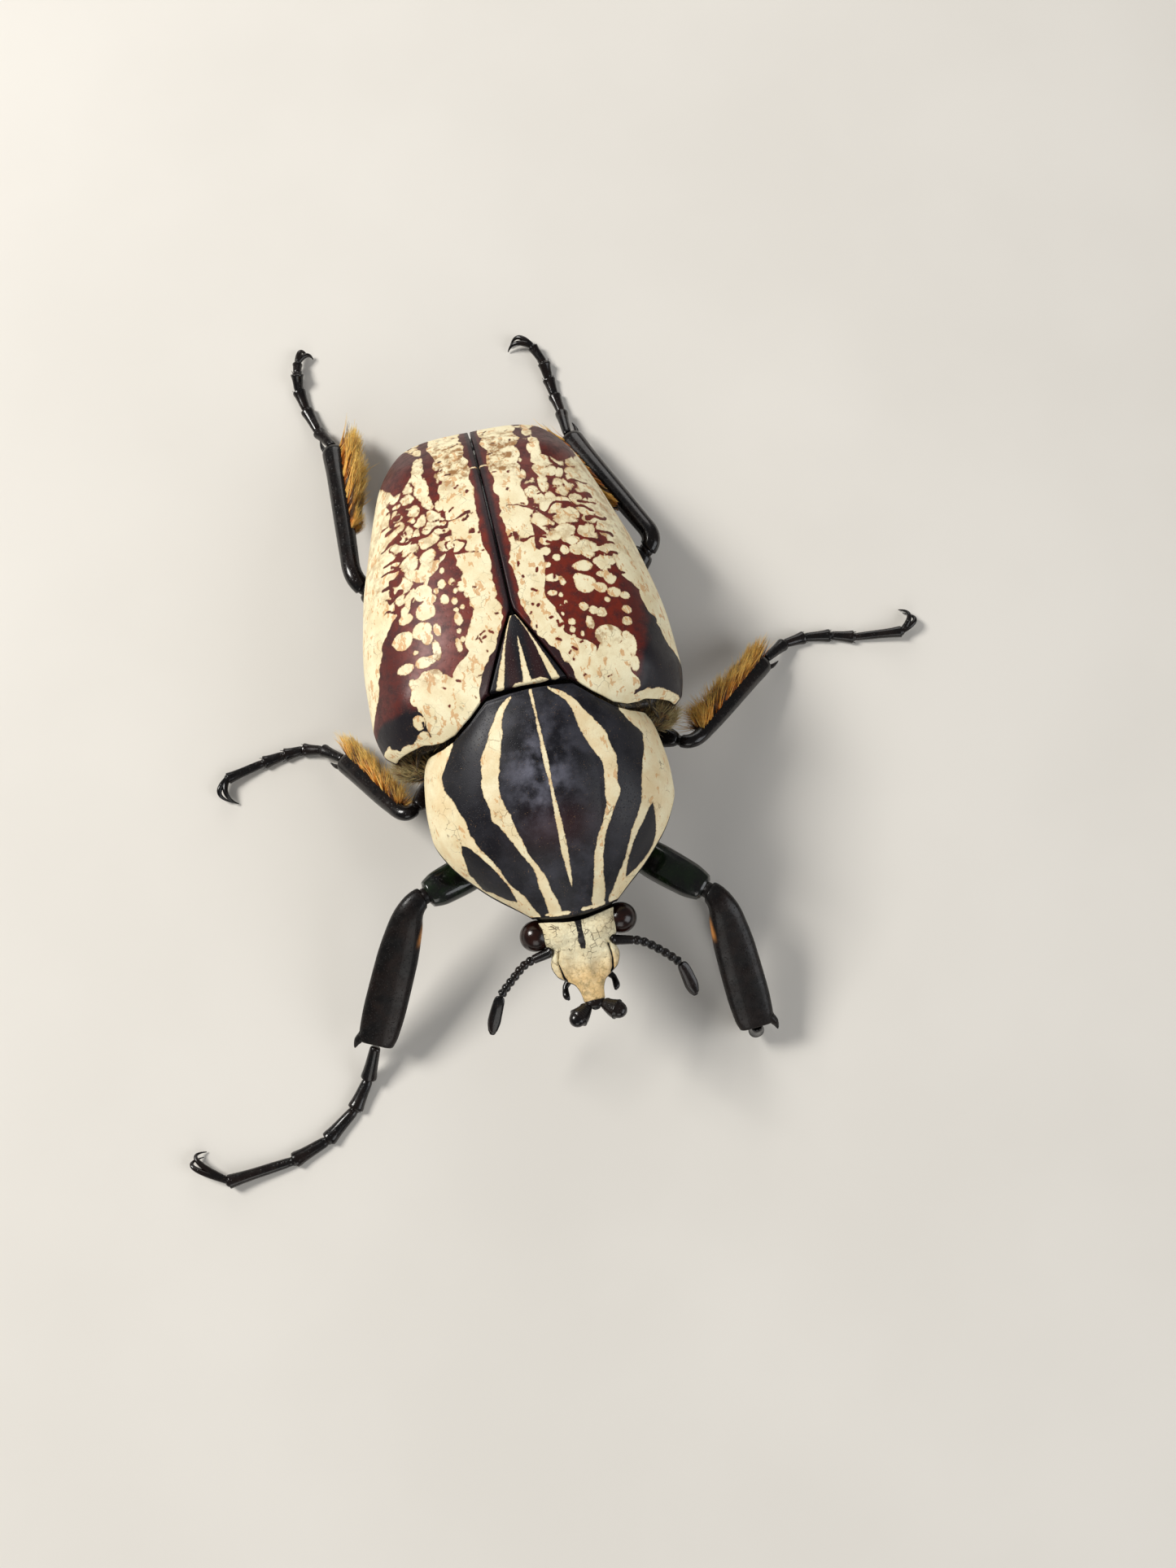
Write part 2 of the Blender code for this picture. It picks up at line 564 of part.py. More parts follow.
def ball(name, frame, group, finish, segments, rings):
    """A sphere of radius 1 mm, placed and stretched by a frame."""
    bm = bmesh.new()
    bmesh.ops.create_uvsphere(bm, u_segments=segments, v_segments=rings, radius=1)
    bmesh.ops.transform(bm, matrix=frame, verts=bm.verts)
    made = new_object(name, bm, finish)
    if group is not PARTS:
        PARTS.objects.unlink(made)
        group.objects.link(made)
        made.hide_render = True
        made.display_type = "WIRE"
    return made


def cut(target, cutter):
    hole = target.modifiers.new(cutter.name, "BOOLEAN")
    hole.operation = "DIFFERENCE"
    hole.object = cutter


def eye_frame(sign, grow=0.0):
    place = Vector((sign * EYE_PLACE.x, EYE_PLACE.y, EYE_PLACE.z))
    radii = EYE_RADII + Vector((grow, grow, grow))
    return trunk_to_ground() @ Matrix.Translation(place) @ Matrix.Diagonal((*radii, 1))


def tube_rings(points, radii, sides, flat=1.0, up=Vector((0, 0, 1)), first=None, last=None):
    """Rings round a path, with (half-width, half-thickness) or a radius at each point."""
    rings = []
    for i, centre in enumerate(points):
        before = points[max(0, i - 1)]
        after = points[min(len(points) - 1, i + 1)]
        tangent = (after - before).normalized()
        if i == 0 and first:
            tangent = first
        if i == len(points) - 1 and last:
            tangent = last
        side = tangent.cross(up).normalized()
        normal = side.cross(tangent)
        size = radii[i]
        wide, thick = size if isinstance(size, tuple) else (size, size * flat)
        ring = []
        for k in range(sides):
            c, s = ellipse_power(2 * math.pi * (k + 0.5) / sides, LIMB_ROUND)
            ring.append(centre + side * wide * c + normal * thick * s)
        rings.append(ring)
    return rings


def fuse(name, pieces, finish):
    """One closed object from several overlapping closed bmeshes, by one union on their collection."""
    base = new_object(name, pieces[0], finish)
    if len(pieces) == 1:
        return base
    group = bpy.data.collections.new(f"{name}_pieces")
    for number, piece in enumerate(pieces[1:]):
        made = new_object(f"{name}_piece_{number}", piece, finish)
        PARTS.objects.unlink(made)
        group.objects.link(made)
    join = base.modifiers.new("join", "BOOLEAN")
    join.operation = "UNION"
    join.operand_type = "COLLECTION"
    join.collection = group
    bpy.context.view_layer.update()
    joined = bpy.data.meshes.new_from_object(base.evaluated_get(bpy.context.evaluated_depsgraph_get()))
    base.modifiers.clear()
    base.data = joined
    for made in list(group.objects):
        bpy.data.objects.remove(made)
    bpy.data.collections.remove(group)
    keep_largest(base.data)
    return base


def keep_largest(mesh):
    """Drops every closed surface but the one with the most volume."""
    bm = bmesh.new()
    bm.from_mesh(mesh)
    left = set(bm.faces)
    bodies = []
    while left:
        stack = [left.pop()]
        body = list(stack)
        while stack:
            face = stack.pop()
            for edge in face.edges:
                for other in edge.link_faces:
                    if other in left:
                        left.remove(other)
                        stack.append(other)
                        body.append(other)
        bodies.append(body)
    bodies.sort(key=lambda faces: sum(face.calc_area() for face in faces))
    loose = [face for body in bodies[:-1] for face in body]
    bmesh.ops.delete(bm, geom=loose, context="FACES")
    bm.to_mesh(mesh)
    bm.free()


def horn():
    """The stem's end and the two clubbed arms of the fork."""
    def arm(sign):
        points = [Vector((sign * x, y, z)) for (x, y, z), _ in HORN_ARM]
        rings = tube_rings(points, [r for _, r in HORN_ARM], HORN_SIDES, HORN_FLAT)
        return loft_bmesh(rings, trunk_to_ground())

    root_points = [Vector(p) for p, _ in HORN_ROOT]
    forward = Vector((0, -1, 0))
    radii = [r for _, r in HORN_ROOT]
    root = tube_rings(root_points, radii, HORN_SIDES, HORN_STEM_FLAT, first=forward, last=forward)
    return fuse("horn", [loft_bmesh(root, trunk_to_ground()), arm(1), arm(-1)], "cuticle")


def antenna(side):
    stations = ANTENNA[side]
    points = [Vector(p) for p, _ in stations]
    outward = Vector((math.copysign(1, points[0].x), 0, 0))
    rings = tube_rings(points, [r for _, r in stations], TARSUS_SIDES, first=outward)
    return new_object(f"antenna_{side}", loft_bmesh(rings), "cuticle")


def leg_points(leg):
    """The joints of one leg as vectors."""
    return {key: [Vector(p) for p in value] if key == "toes" else Vector(value) for key, value in leg.items()}


def coxa_frame(kind, joints, grow=0.0):
    """Frame of the ellipsoid coxa, its long axis towards the knee."""
    out = (joints["knee"] - joints["hip"]).normalized()
    side = out.cross(Vector((0, 0, 1))).normalized()
    up = side.cross(out)
    axes = Matrix((out, side, up)).transposed().to_4x4()
    radii = [r + grow for r in COXA_RADII[kind]]
    return Matrix.Translation(joints["hip"]) @ axes @ Matrix.Diagonal((*radii, 1))


def coxa(name, kind, joints):
    bm = bmesh.new()
    bmesh.ops.create_uvsphere(bm, u_segments=COXA_GRID[0], v_segments=COXA_GRID[1], radius=1)
    bmesh.ops.transform(bm, matrix=coxa_frame(kind, joints), verts=bm.verts)
    out = (joints["knee"] - joints["hip"]).normalized()
    plane = joints["hip"] + out * (COXA_REACH[kind] - HALF_GAP)
    geometry = bm.verts[:] + bm.edges[:] + bm.faces[:]
    bmesh.ops.bisect_plane(bm, geom=geometry, plane_co=plane, plane_no=out, clear_outer=True)
    bmesh.ops.holes_fill(bm, edges=[edge for edge in bm.edges if edge.is_boundary], sides=0)
    return new_object(f"coxa_{name}", bm, "cuticle")


def limb_sizes(stations, shares):
    """(half-width, half-thickness) of a limb at each share of its length."""
    return [(along(column(stations, 1), share), along(column(stations, 2), share)) for share in shares]


def femur(name, kind, joints):
    out = (joints["knee"] - joints["hip"]).normalized()
    start = joints["hip"] + out * (COXA_REACH[kind] + HALF_GAP)
    end = joints["knee"] - out * (KNEE_BACK + HALF_GAP)
    shares = [i / FEMUR_ROWS for i in range(FEMUR_ROWS + 1)]
    points = [start.lerp(end, share) for share in shares]
    rings = tube_rings(points, limb_sizes(FEMUR[kind], shares), LIMB_SIDES)
    return new_object(f"femur_{name}", loft_bmesh(rings), "cuticle")


def tibia_path(joints):
    """Points from the knee face round the bent base to the ankle."""
    out = (joints["knee"] - joints["hip"]).normalized()
    down = (joints["ankle"] - joints["knee"]).normalized()
    start = joints["knee"] - out * (KNEE_BACK - HALF_GAP)
    turn = joints["knee"] + down * KNEE_BEND
    end = joints["ankle"] - down * HALF_GAP
    points = []
    for i in range(KNEE_ROWS):
        s = i / KNEE_ROWS
        points.append(start * (1 - s) ** 2 + joints["knee"] * 2 * s * (1 - s) + turn * s * s)
    for i in range(TIBIA_ROWS + 1):
        points.append(turn.lerp(end, i / TIBIA_ROWS))
    return points, out, down


def tibia(name, kind, joints):
    """The shaft from the knee to the ankle, with its spines and, behind the fore legs, its brush."""
    points, out, down = tibia_path(joints)
    lengths = [0.0]
    for a, b in zip(points, points[1:]):
        lengths.append(lengths[-1] + (b - a).length)
    sizes = limb_sizes(TIBIA[kind], [length / lengths[-1] for length in lengths])
    shaft = loft_bmesh(tube_rings(points, sizes, LIMB_SIDES, first=out, last=down))
    side = down.cross(Vector((0, 0, 1))).normalized()
    inner = side if name.endswith("right") != (kind == "fore") else -side
    edge = TIBIA[kind][-2][1] - SPINE_INSET
    pieces = [shaft]
    if kind == "fore":
        pieces.append(spine(joints["ankle"] - inner * edge, down, -inner, TOOTH_LENGTH, TOOTH_RADIUS))
    else:
        pieces += brush(kind, joints, inner, down)
        for out in (-inner, inner):
            pieces.append(spine(joints["ankle"] + out * edge, down, out, SPUR_LENGTH, SPUR_RADIUS))
    return fuse(f"tibia_{name}", pieces, "cuticle")


def spine(place, down, out, length, radius):
    """A straight tapered spine, rooted inside the tibia above the place given."""
    root = place - down * length * SPINE_ROOT
    tip = root + down * length + out * SPINE_SPLAY
    points = [root, root.lerp(tip, 0.5), tip]
    return loft_bmesh(tube_rings(points, [radius, radius * 0.75, SPINE_TIP], FINE_SIDES))


def brush(kind, joints, inner, down):
    """The bristle brush along the inner side of the tibia, as flat tapered locks that lean to the ankle."""
    reaches, count, rows = BRUSH_REACH[kind], BRUSH_COUNT[kind], len(LOCK_FORM) - 1
    first, last = reaches[0][0], reaches[-1][0]
    locks = []
    for number in range(count):
        share = first + (last - first) * number / (count - 1)
        root = joints["knee"].lerp(joints["ankle"], share)
        root += inner * (along(column(TIBIA[kind], 1), share) - LOCK_SINK)
        reach = LOCK_SINK + along(reaches, share) * (1 + LOCK_VARY * math.sin(2.4 * number))
        points = []
        for i in range(rows + 1):
            s = i / rows
            points.append(root + (inner * s + down * (LOCK_LEAN * s + LOCK_CURL * s * s)) * reach)
        locks.append(loft_bmesh(tube_rings(points, LOCK_FORM, LOCK_SIDES)))
    return locks


def claw(root, joints, sign):
    """One of the two hooked claws of a tarsus, which arch out and down to the ground."""
    crown, tip = joints["claw"], joints["claw_tip"]
    across = (crown - root).cross(Vector((0, 0, 1))).normalized() * (sign * CLAW_SPREAD)
    points, radii = [], []
    for i in range(CLAW_ROWS + 1):
        s = i / CLAW_ROWS
        bow = root * (1 - s) ** 2 + (crown * 2 - (root + tip) / 2) * 2 * s * (1 - s) + tip * s * s
        points.append(bow + across * math.sin(CLAW_TURN * s))
        radii.append(CLAW_RADIUS * (1 - CLAW_TAPER * s))
    return loft_bmesh(tube_rings(points, radii, FINE_SIDES))


def tarsus(name, joints):
    """Five flared segments on the ground, and two claws."""
    down = (joints["ankle"] - joints["knee"]).normalized()
    stops = [joints["ankle"] + down * HALF_GAP] + joints["toes"]
    points, radii = [stops[0]], [TARSUS_BASE]
    for a, b in zip(stops, stops[1:]):
        for share, radius in TARSUS_SEGMENT:
            points.append(a.lerp(b, share))
            radii.append(radius)
    rings = tube_rings(points, radii, TARSUS_SIDES, TARSUS_FLAT, first=down)
    for ring in rings:
        for point in ring:
            point.z = max(0.0, point.z)
    root = points[-1].lerp(points[-2], 0.25)
    pieces = [loft_bmesh(rings), claw(root, joints, -1), claw(root, joints, 1)]
    return fuse(f"tarsus_{name}", pieces, "cuticle")


def mouthparts():
    """The chin plate under the head, with a palp on each side."""
    rings = []
    for y, half in MENTUM:
        top = along(HEAD_BOTTOM, y) - GAP
        rings.append(oval_ring(y, half, top, top - MENTUM_DEPTH, HEAD_ROUND, HORN_SIDES))
    pieces = [loft_bmesh(rings, trunk_to_ground())]
    for sign in (-1, 1):
        points = [Vector((sign * x, y, z)) for (x, y, z), _ in PALP]
        rings = tube_rings(points, [r for _, r in PALP], FINE_SIDES)
        pieces.append(loft_bmesh(rings, trunk_to_ground()))
    return fuse("mouthparts", pieces, "cuticle")


def build():
    for made in list(bpy.data.objects):
        bpy.data.objects.remove(made)
    pronotum()
    prothorax_underside()
    elytron("left", 1)
    elytron("right", -1)
    scutellum()
    thorax_underside()
    abdomen()
    pygidium()
    head()
    horn()
    mouthparts()
    for side, sign in (("left", 1), ("right", -1)):
        ball(f"eye_{side}", eye_frame(sign), PARTS, "eye", *EYE_GRID)
        antenna(side)
    for name, leg in LEGS.items():
        kind = name.split("_")[0]
        joints = leg_points(leg)
        coxa(name, kind, joints)
        femur(name, kind, joints)
        tibia(name, kind, joints)
        tarsus(name, joints)
        trunk = ["prothorax_underside"] if kind == "fore" else ["thorax_underside", "abdomen"]
        cutter = ball(f"coxa_cutter_{name}", coxa_frame(kind, joints, GAP), CUTTERS, "cuticle", *COXA_GRID)
        for piece in trunk:
            cut(bpy.data.objects[piece], cutter)


PARTS = collection("goliath_beetle")
CUTTERS = collection("cutters")
build()
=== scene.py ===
"""Goliath beetle at life size: surfaces, finishes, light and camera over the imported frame.

Sizes are in millimetres. The trunk has its own frame (x to the beetle's left, y to the rear, z up), which is
pitched and lifted over the ground; the legs and the antennae are laid out over the ground.
"""
import logging
import math
from collections.abc import Callable
from dataclasses import dataclass, replace
from enum import Enum

import bpy
import numpy as np
from mathutils import Matrix, Vector


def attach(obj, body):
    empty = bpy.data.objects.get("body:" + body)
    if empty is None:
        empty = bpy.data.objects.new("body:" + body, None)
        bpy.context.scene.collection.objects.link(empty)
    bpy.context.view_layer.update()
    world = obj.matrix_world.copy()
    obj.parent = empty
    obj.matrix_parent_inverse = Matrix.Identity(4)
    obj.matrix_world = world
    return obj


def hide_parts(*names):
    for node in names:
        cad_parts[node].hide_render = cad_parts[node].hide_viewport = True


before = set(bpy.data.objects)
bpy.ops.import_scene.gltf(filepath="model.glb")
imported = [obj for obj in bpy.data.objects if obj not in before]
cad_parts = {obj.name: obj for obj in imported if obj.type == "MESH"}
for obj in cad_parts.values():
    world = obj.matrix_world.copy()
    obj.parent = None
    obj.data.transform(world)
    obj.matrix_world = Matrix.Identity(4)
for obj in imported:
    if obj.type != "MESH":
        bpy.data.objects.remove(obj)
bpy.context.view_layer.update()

LOG = logging.getLogger("beetle")
MM = 0.001
GAP = 0.3
UP = (0, 0, 1.0)
Array = np.ndarray
Triple = tuple[float, float, float]
Cell = tuple[float, float, float, float]
Pairs = tuple[tuple[float, float], ...]
Table = tuple[tuple[float, ...], ...]
Faces = list[Array]
Solid = tuple[Array, Faces]
Piece = bpy.types.Object
Material = bpy.types.Material
Tree = bpy.types.NodeTree
Node = bpy.types.Node


class Slot(Enum):
    """Material slots of the record."""

    SHELL = "shell_plate"
    SHIELD = "pronotum"
    CUTICLE = "cuticle"
    CRUST = "head_crust"
    EYE = "eye"


# Lines, noise and frames

def smooth_line(stations: Pairs, t: Array) -> Array:
    """Values at t on the smooth line through (place, value) stations, with no overshoot.

    Args:
        stations: places and values that the line goes through.
        t: places on the line.

    Returns:
        The value at each place.
    """
    places = np.array([p for p, _ in stations], float)
    values = np.array([v for _, v in stations], float)
    span = np.diff(places)
    slope = np.diff(values) / span
    tangent = np.empty(len(places))
    tangent[0], tangent[-1] = slope[0], slope[-1]
    before, after = slope[:-1], slope[1:]
    level = before * after <= 0
    tangent[1:-1] = np.where(level, 0, 2 * before * after / np.where(level, 1, before + after))
    t = np.clip(np.asarray(t, float), places[0], places[-1])
    k = np.clip(np.searchsorted(places, t, side="right") - 1, 0, len(span) - 1)
    s = (t - places[k]) / span[k]
    blend = 3 * s * s - 2 * s ** 3
    rise = (s ** 3 - 2 * s * s + s) * span[k] * tangent[k] + (s ** 3 - s * s) * span[k] * tangent[k + 1]
    return values[k] * (1 - blend) + values[k + 1] * blend + rise


def lattice(i: Array, j: Array, seed: int) -> Array:
    """Repeatable values from -1 to 1 at whole-number places.

    Args:
        i: columns.
        j: rows.
        seed: number that fixes what is random.

    Returns:
        One value for each place.
    """
    h = (i.astype(np.int64) * 374761393 + j.astype(np.int64) * 668265263 + seed * 144269504) & 0xFFFFFFFF
    h = ((h ^ (h >> 13)) * 1274126177) & 0xFFFFFFFF
    return ((h ^ (h >> 16)) & 0xFFFF) / 32767.5 - 1


def soft_noise(x: Array, y: Array, size: float, seed: int) -> Array:
    """Smooth noise from -1 to 1 over a plane, with waves of the given size.

    Args:
        x: places across, in millimetres.
        y: places along the body, in millimetres.
        size: length of a wave.
        seed: number that fixes what is random.

    Returns:
        The noise at each place.
    """
    x, y = x / size, y / size
    i, j = np.floor(x), np.floor(y)
    fx, fy = x - i, y - j
    fx, fy = fx * fx * (3 - 2 * fx), fy * fy * (3 - 2 * fy)
    near = lattice(i, j, seed) * (1 - fx) + lattice(i + 1, j, seed) * fx
    far = lattice(i, j + 1, seed) * (1 - fx) + lattice(i + 1, j + 1, seed) * fx
    return near * (1 - fy) + far * fy


def smooth_step(t: Array, low: float, high: float) -> Array:
    """Eased rise from 0 at low to 1 at high."""
    s = np.clip((t - low) / (high - low), 0, 1)
    return s * s * (3 - 2 * s)


def superellipse(angle: Array, power: float) -> tuple[Array, Array]:
    """Cosine and sine of an angle on a superellipse."""
    c, s = np.cos(angle), np.sin(angle)
    return np.sign(c) * np.abs(c) ** (2 / power), np.sign(s) * np.abs(s) ** (2 / power)


def unit(vectors: Array) -> Array:
    """The vectors at a length of 1."""
    return vectors / np.linalg.norm(vectors, axis=-1, keepdims=True)


def run_length(points: Array, axis: int = 0) -> Array:
    """Length run so far along a path, or along one axis of a grid of points."""
    length = np.cumsum(np.linalg.norm(np.diff(points, axis=axis), axis=-1), axis=axis)
    return np.concatenate([np.zeros_like(np.take(length, [0], axis)), length], axis=axis)


def ring_angles(sides: int) -> Array:
    """Angles of a ring's points, half a step off the axes."""
    return 2 * math.pi * (np.arange(sides) + 0.5) / sides


@dataclass(frozen=True)
class Stance:
    """How the trunk's frame and the ground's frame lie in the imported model."""

    pitch: float = math.radians(7.0)
    lift: float = 7.2
    origin: Triple = (0.05, 7.95, 0.0)

    def over_ground(self, points: Array) -> Array:
        """Trunk points in the ground's frame, in millimetres.

        Args:
            points: points, in millimetres.

        Returns:
            The points over the ground.
        """
        c, s = math.cos(self.pitch), math.sin(self.pitch)
        x, y, z = points[..., 0], points[..., 1], points[..., 2]
        return np.stack([x, y * c + z * s, -y * s + z * c + self.lift], -1)

    def from_ground(self, points: Array) -> Array:
        """Ground points in the model's frame, in metres."""
        return (points - np.array(self.origin)) * MM

    def from_trunk(self, points: Array) -> Array:
        """Trunk points in the model's frame, in metres."""
        return self.from_ground(self.over_ground(points))


STANCE = Stance()


# Meshes

def grid_faces(rows: int, columns: int, start: int = 0, wrap: bool = False, flip: bool = False) -> Array:
    """Quads of a grid of points in rows.

    Args:
        rows: number of rows.
        columns: number of points in a row.
        start: number of the first point.
        wrap: whether a row closes on itself.
        flip: whether the faces look the other way.

    Returns:
        The quads.
    """
    i, j = np.meshgrid(np.arange(rows - 1), np.arange(columns if wrap else columns - 1), indexing="ij")
    k = (j + 1) % columns
    quads = np.stack([i * columns + j, i * columns + k, (i + 1) * columns + k, (i + 1) * columns + j], -1)
    quads = quads.reshape(-1, 4) + start
    return quads[:, ::-1] if flip else quads


def border(index: Array) -> Array:
    """The numbers round the border of a grid."""
    return np.concatenate([index[0, :], index[1:, -1], index[-1, -2::-1], index[-2:0:-1, 0]])


def make_mesh(name: str, points: Array, faces: Faces) -> bpy.types.Mesh:
    """A smooth mesh from points in metres and arrays of faces.

    Args:
        name: name of the piece.
        points: points, in metres.
        faces: arrays of faces.

    Returns:
        The mesh.
    """
    mesh = bpy.data.meshes.new(name)
    points = np.ascontiguousarray(points, float).reshape(-1, 3)
    mesh.vertices.add(len(points))
    mesh.vertices.foreach_set("co", points.ravel())
    counts = np.concatenate([np.full(len(f), f.shape[1]) for f in faces])
    corners = np.concatenate([f.ravel() for f in faces]).astype(np.int32)
    mesh.loops.add(len(corners))
    mesh.loops.foreach_set("vertex_index", corners)
    mesh.polygons.add(len(counts))
    mesh.polygons.foreach_set("loop_start", np.concatenate([[0], np.cumsum(counts)[:-1]]).astype(np.int32))
    mesh.update(calc_edges=True)
    mesh.validate()
    mesh.shade_smooth()
    return mesh


def put_out(name: str, data: bpy.types.ID) -> Piece:
    """A new object with its data, linked to the scene.

    Args:
        name: name of the object.
        data: its mesh, lamp or camera.

    Returns:
        The object.
    """
    made = bpy.data.objects.new(name, data)
    bpy.context.scene.collection.objects.link(made)
    return made


def make_piece(name: str, mesh: bpy.types.Mesh, finish: Material,
               replaced: tuple[str, ...]) -> Piece:
    """A finished piece that rides on the body and stands for CAD nodes.

    Args:
        name: name of the piece.
        mesh: its mesh.
        finish: material of the piece.
        replaced: names of the CAD nodes that it stands for.

    Returns:
        The finished piece.
    """
    piece = put_out(name, mesh)
    if not mesh.materials:
        mesh.materials.append(finish)
    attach(piece, "root")
    if replaced:
        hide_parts(*replaced)
    LOG.info("%s: %d faces", name, len(mesh.polygons))
    return piece


def set_values(mesh: bpy.types.Mesh, **values: Array) -> None:
    """Stores one number per vertex under each name.

    Args:
        mesh: the mesh.
        values: numbers by name, one per vertex.
    """
    for name, value in values.items():
        layer = mesh.attributes.new(name, "FLOAT", "POINT")
        layer.data.foreach_set("value", np.ascontiguousarray(value, np.float32).ravel())


def trunk_mesh(name: str, points: Array, faces: Faces) -> bpy.types.Mesh:
    """A mesh from a closed piece in the trunk's frame."""
    return make_mesh(name, STANCE.from_trunk(points), turn_outward(points, faces))


class Shape:
    """Closed pieces that are joined in one piece of cuticle."""

    def __init__(self, place: Callable[[Array], Array]) -> None:
        """Starts with nothing.

        Args:
            place: brings points in millimetres into the model's frame.
        """
        self.place = place
        self.points: list[Array] = []
        self.faces: Faces = []
        self.values: list[Array] = []
        self.count = 0

    def add(self, points: Array, faces: Faces, value: float | Array = 0.0) -> None:
        """Adds one closed piece, its faces turned outward.

        Args:
            points: points, in millimetres.
            faces: arrays of faces.
            value: tone of its vertices.
        """
        points = points.reshape(-1, 3)
        self.faces += [f + self.count for f in turn_outward(points, faces)]
        self.points.append(self.place(points))
        self.values.append(np.broadcast_to(np.asarray(value, float).ravel(), (len(points),)).copy())
        self.count += len(points)

    def piece(self, name: str, finish: Material, node: str) -> Piece:
        """Joins all that was added.

        Args:
            name: name of the piece.
            finish: material of the piece.
            node: name of the CAD node that it stands for.

        Returns:
            The finished piece.
        """
        mesh = make_mesh(name, np.concatenate(self.points), self.faces)
        set_values(mesh, tone=np.concatenate(self.values))
        return make_piece(name, mesh, finish, (node,))


def capped(rings: Array, tips: Array) -> Solid:
    """Closes rows of rings with a point at each end.

    Args:
        rings: rows of points, each a closed ring.
        tips: one point beyond each end.

    Returns:
        Points and faces of the closed piece.
    """
    rows, sides = rings.shape[:2]
    ring = np.arange(sides)
    after, last = (ring + 1) % sides, (rows - 1) * sides
    faces = [grid_faces(rows, sides, wrap=True),
             np.stack([np.full(sides, rows * sides), after, ring], -1),
             np.stack([np.full(sides, rows * sides + 1), last + ring, last + after], -1)]
    return np.concatenate([rings.reshape(-1, 3), tips]), faces


@dataclass
class Path:
    """A tube's course, with its half-width, half-height and direction at each point."""

    points: Array
    wide: Array
    thick: Array
    tangent: Array

    def turned(self) -> "Path":
        """The same path from its other end."""
        return Path(self.points[::-1], self.wide[::-1], self.thick[::-1], -self.tangent[::-1])

    def rounded(self, share: float) -> "Path":
        """Draws the last end in, in a quarter of an ellipse.

        Args:
            share: depth of the rounding as a share of the half-width.

        Returns:
            The path so drawn in.
        """
        depth = share * min(self.wide[-1], self.thick[-1])
        length = run_length(self.points)
        keep = length[-1] - length > depth + 1e-6
        if share <= 0 or keep.sum() < 2:
            return self
        steps = np.array([0, 0.25, 0.55, 0.8, 0.95])
        end = self.points[-1] + self.tangent[-1] * (depth * (steps[:, None] - 1))
        shrink = np.sqrt(1 - steps ** 2)
        return Path(np.concatenate([self.points[keep], end]),
                    np.concatenate([self.wide[keep], self.wide[-1] * shrink]),
                    np.concatenate([self.thick[keep], self.thick[-1] * shrink]),
                    np.concatenate([self.tangent[keep], np.repeat(self.tangent[[-1]], len(steps), axis=0)]))


def tube(points: Array, wide: Array, thick: Array, sides: int = 32, power: float = 2.15,
         first: Array | None = None, last: Array | None = None,
         round_ends: tuple[float, float] = (0.5, 0.5)) -> Solid:
    """A closed tube along a path, in millimetres.

    Args:
        points: points of its axis.
        wide: half-width at each point.
        thick: half-height at each point.
        sides: number of points in a ring.
        power: squareness, where 2 is an ellipse.
        first: direction at the start, where it is given.
        last: direction at the end, where it is given.
        round_ends: depth of each end's rounding as a share of its half-width.

    Returns:
        Points and faces of the closed piece.
    """
    tangent = np.gradient(points, axis=0)
    if first is not None:
        tangent[0] = first
    if last is not None:
        tangent[-1] = last
    path = Path(points, wide, thick, unit(tangent))
    path = path.turned().rounded(round_ends[0]).turned().rounded(round_ends[1])
    side = unit(np.cross(path.tangent, UP))
    normal = np.cross(side, path.tangent)
    c, s = superellipse(ring_angles(sides), power)
    rings = path.points[:, None] + side[:, None] * (path.wide[:, None] * c)[..., None]
    rings = rings + normal[:, None] * (path.thick[:, None] * s)[..., None]
    tips = [rings[end].mean(0) + sign * path.tangent[end] * 0.02 * path.wide[end]
            for end, sign in ((0, -1), (-1, 1))]
    return capped(rings, np.stack(tips))


def ellipsoid(centre: Array, axes: Array, segments: int = 32, rings: int = 20) -> Solid:
    """A closed ellipsoid, in millimetres.

    Args:
        centre: its centre.
        axes: its half-axes, as the rows of a 3 by 3 array.
        segments: number of points round it.
        rings: number of steps from pole to pole.

    Returns:
        Points and faces of the closed piece.
    """
    angle = 2 * math.pi * np.arange(segments) / segments
    rise = (math.pi * (np.arange(1, rings) / rings - 0.5))[:, None]
    ball = np.stack([np.cos(rise) * np.cos(angle), np.cos(rise) * np.sin(angle),
                     np.repeat(np.sin(rise), segments, 1)], -1)
    points, faces = capped(ball, np.array([[0, 0, -1.0], [0, 0, 1.0]]))
    return centre + points @ np.asarray(axes, float), faces


def slab(top: Array, bottom: Array) -> Solid:
    """A closed slab between two grids of points of one size, its upper face first.

    Args:
        top: grid of the upper face.
        bottom: grid of the lower face, of the same size.

    Returns:
        Points and faces of the closed piece.
    """
    rows, columns = top.shape[:2]
    size = rows * columns
    rim = border(np.arange(size).reshape(rows, columns))
    after = np.roll(rim, -1)
    side = np.stack([rim, rim + size, after + size, after], -1)
    faces = [grid_faces(rows, columns), grid_faces(rows, columns, start=size, flip=True), side]
    return np.concatenate([top.reshape(-1, 3), bottom.reshape(-1, 3)]), faces


def turn_outward(points: Array, faces: Faces) -> Faces:
    """The faces of a closed piece, all turned so that they face outward.

    Args:
        points: points, in millimetres.
        faces: arrays of faces.

    Returns:
        The faces, reversed where the volume is negative.
    """
    volume = 0.0
    for f in faces:
        a = points[f[:, 0]]
        for k in range(1, f.shape[1] - 1):
            volume += float(np.einsum("ij,ij->i", a, np.cross(points[f[:, k]], points[f[:, k + 1]])).sum())
    return faces if volume > 0 else [f[:, ::-1] for f in faces]


# Shader nodes

Socket = bpy.types.NodeSocket
Value = float | tuple[float, ...] | Socket


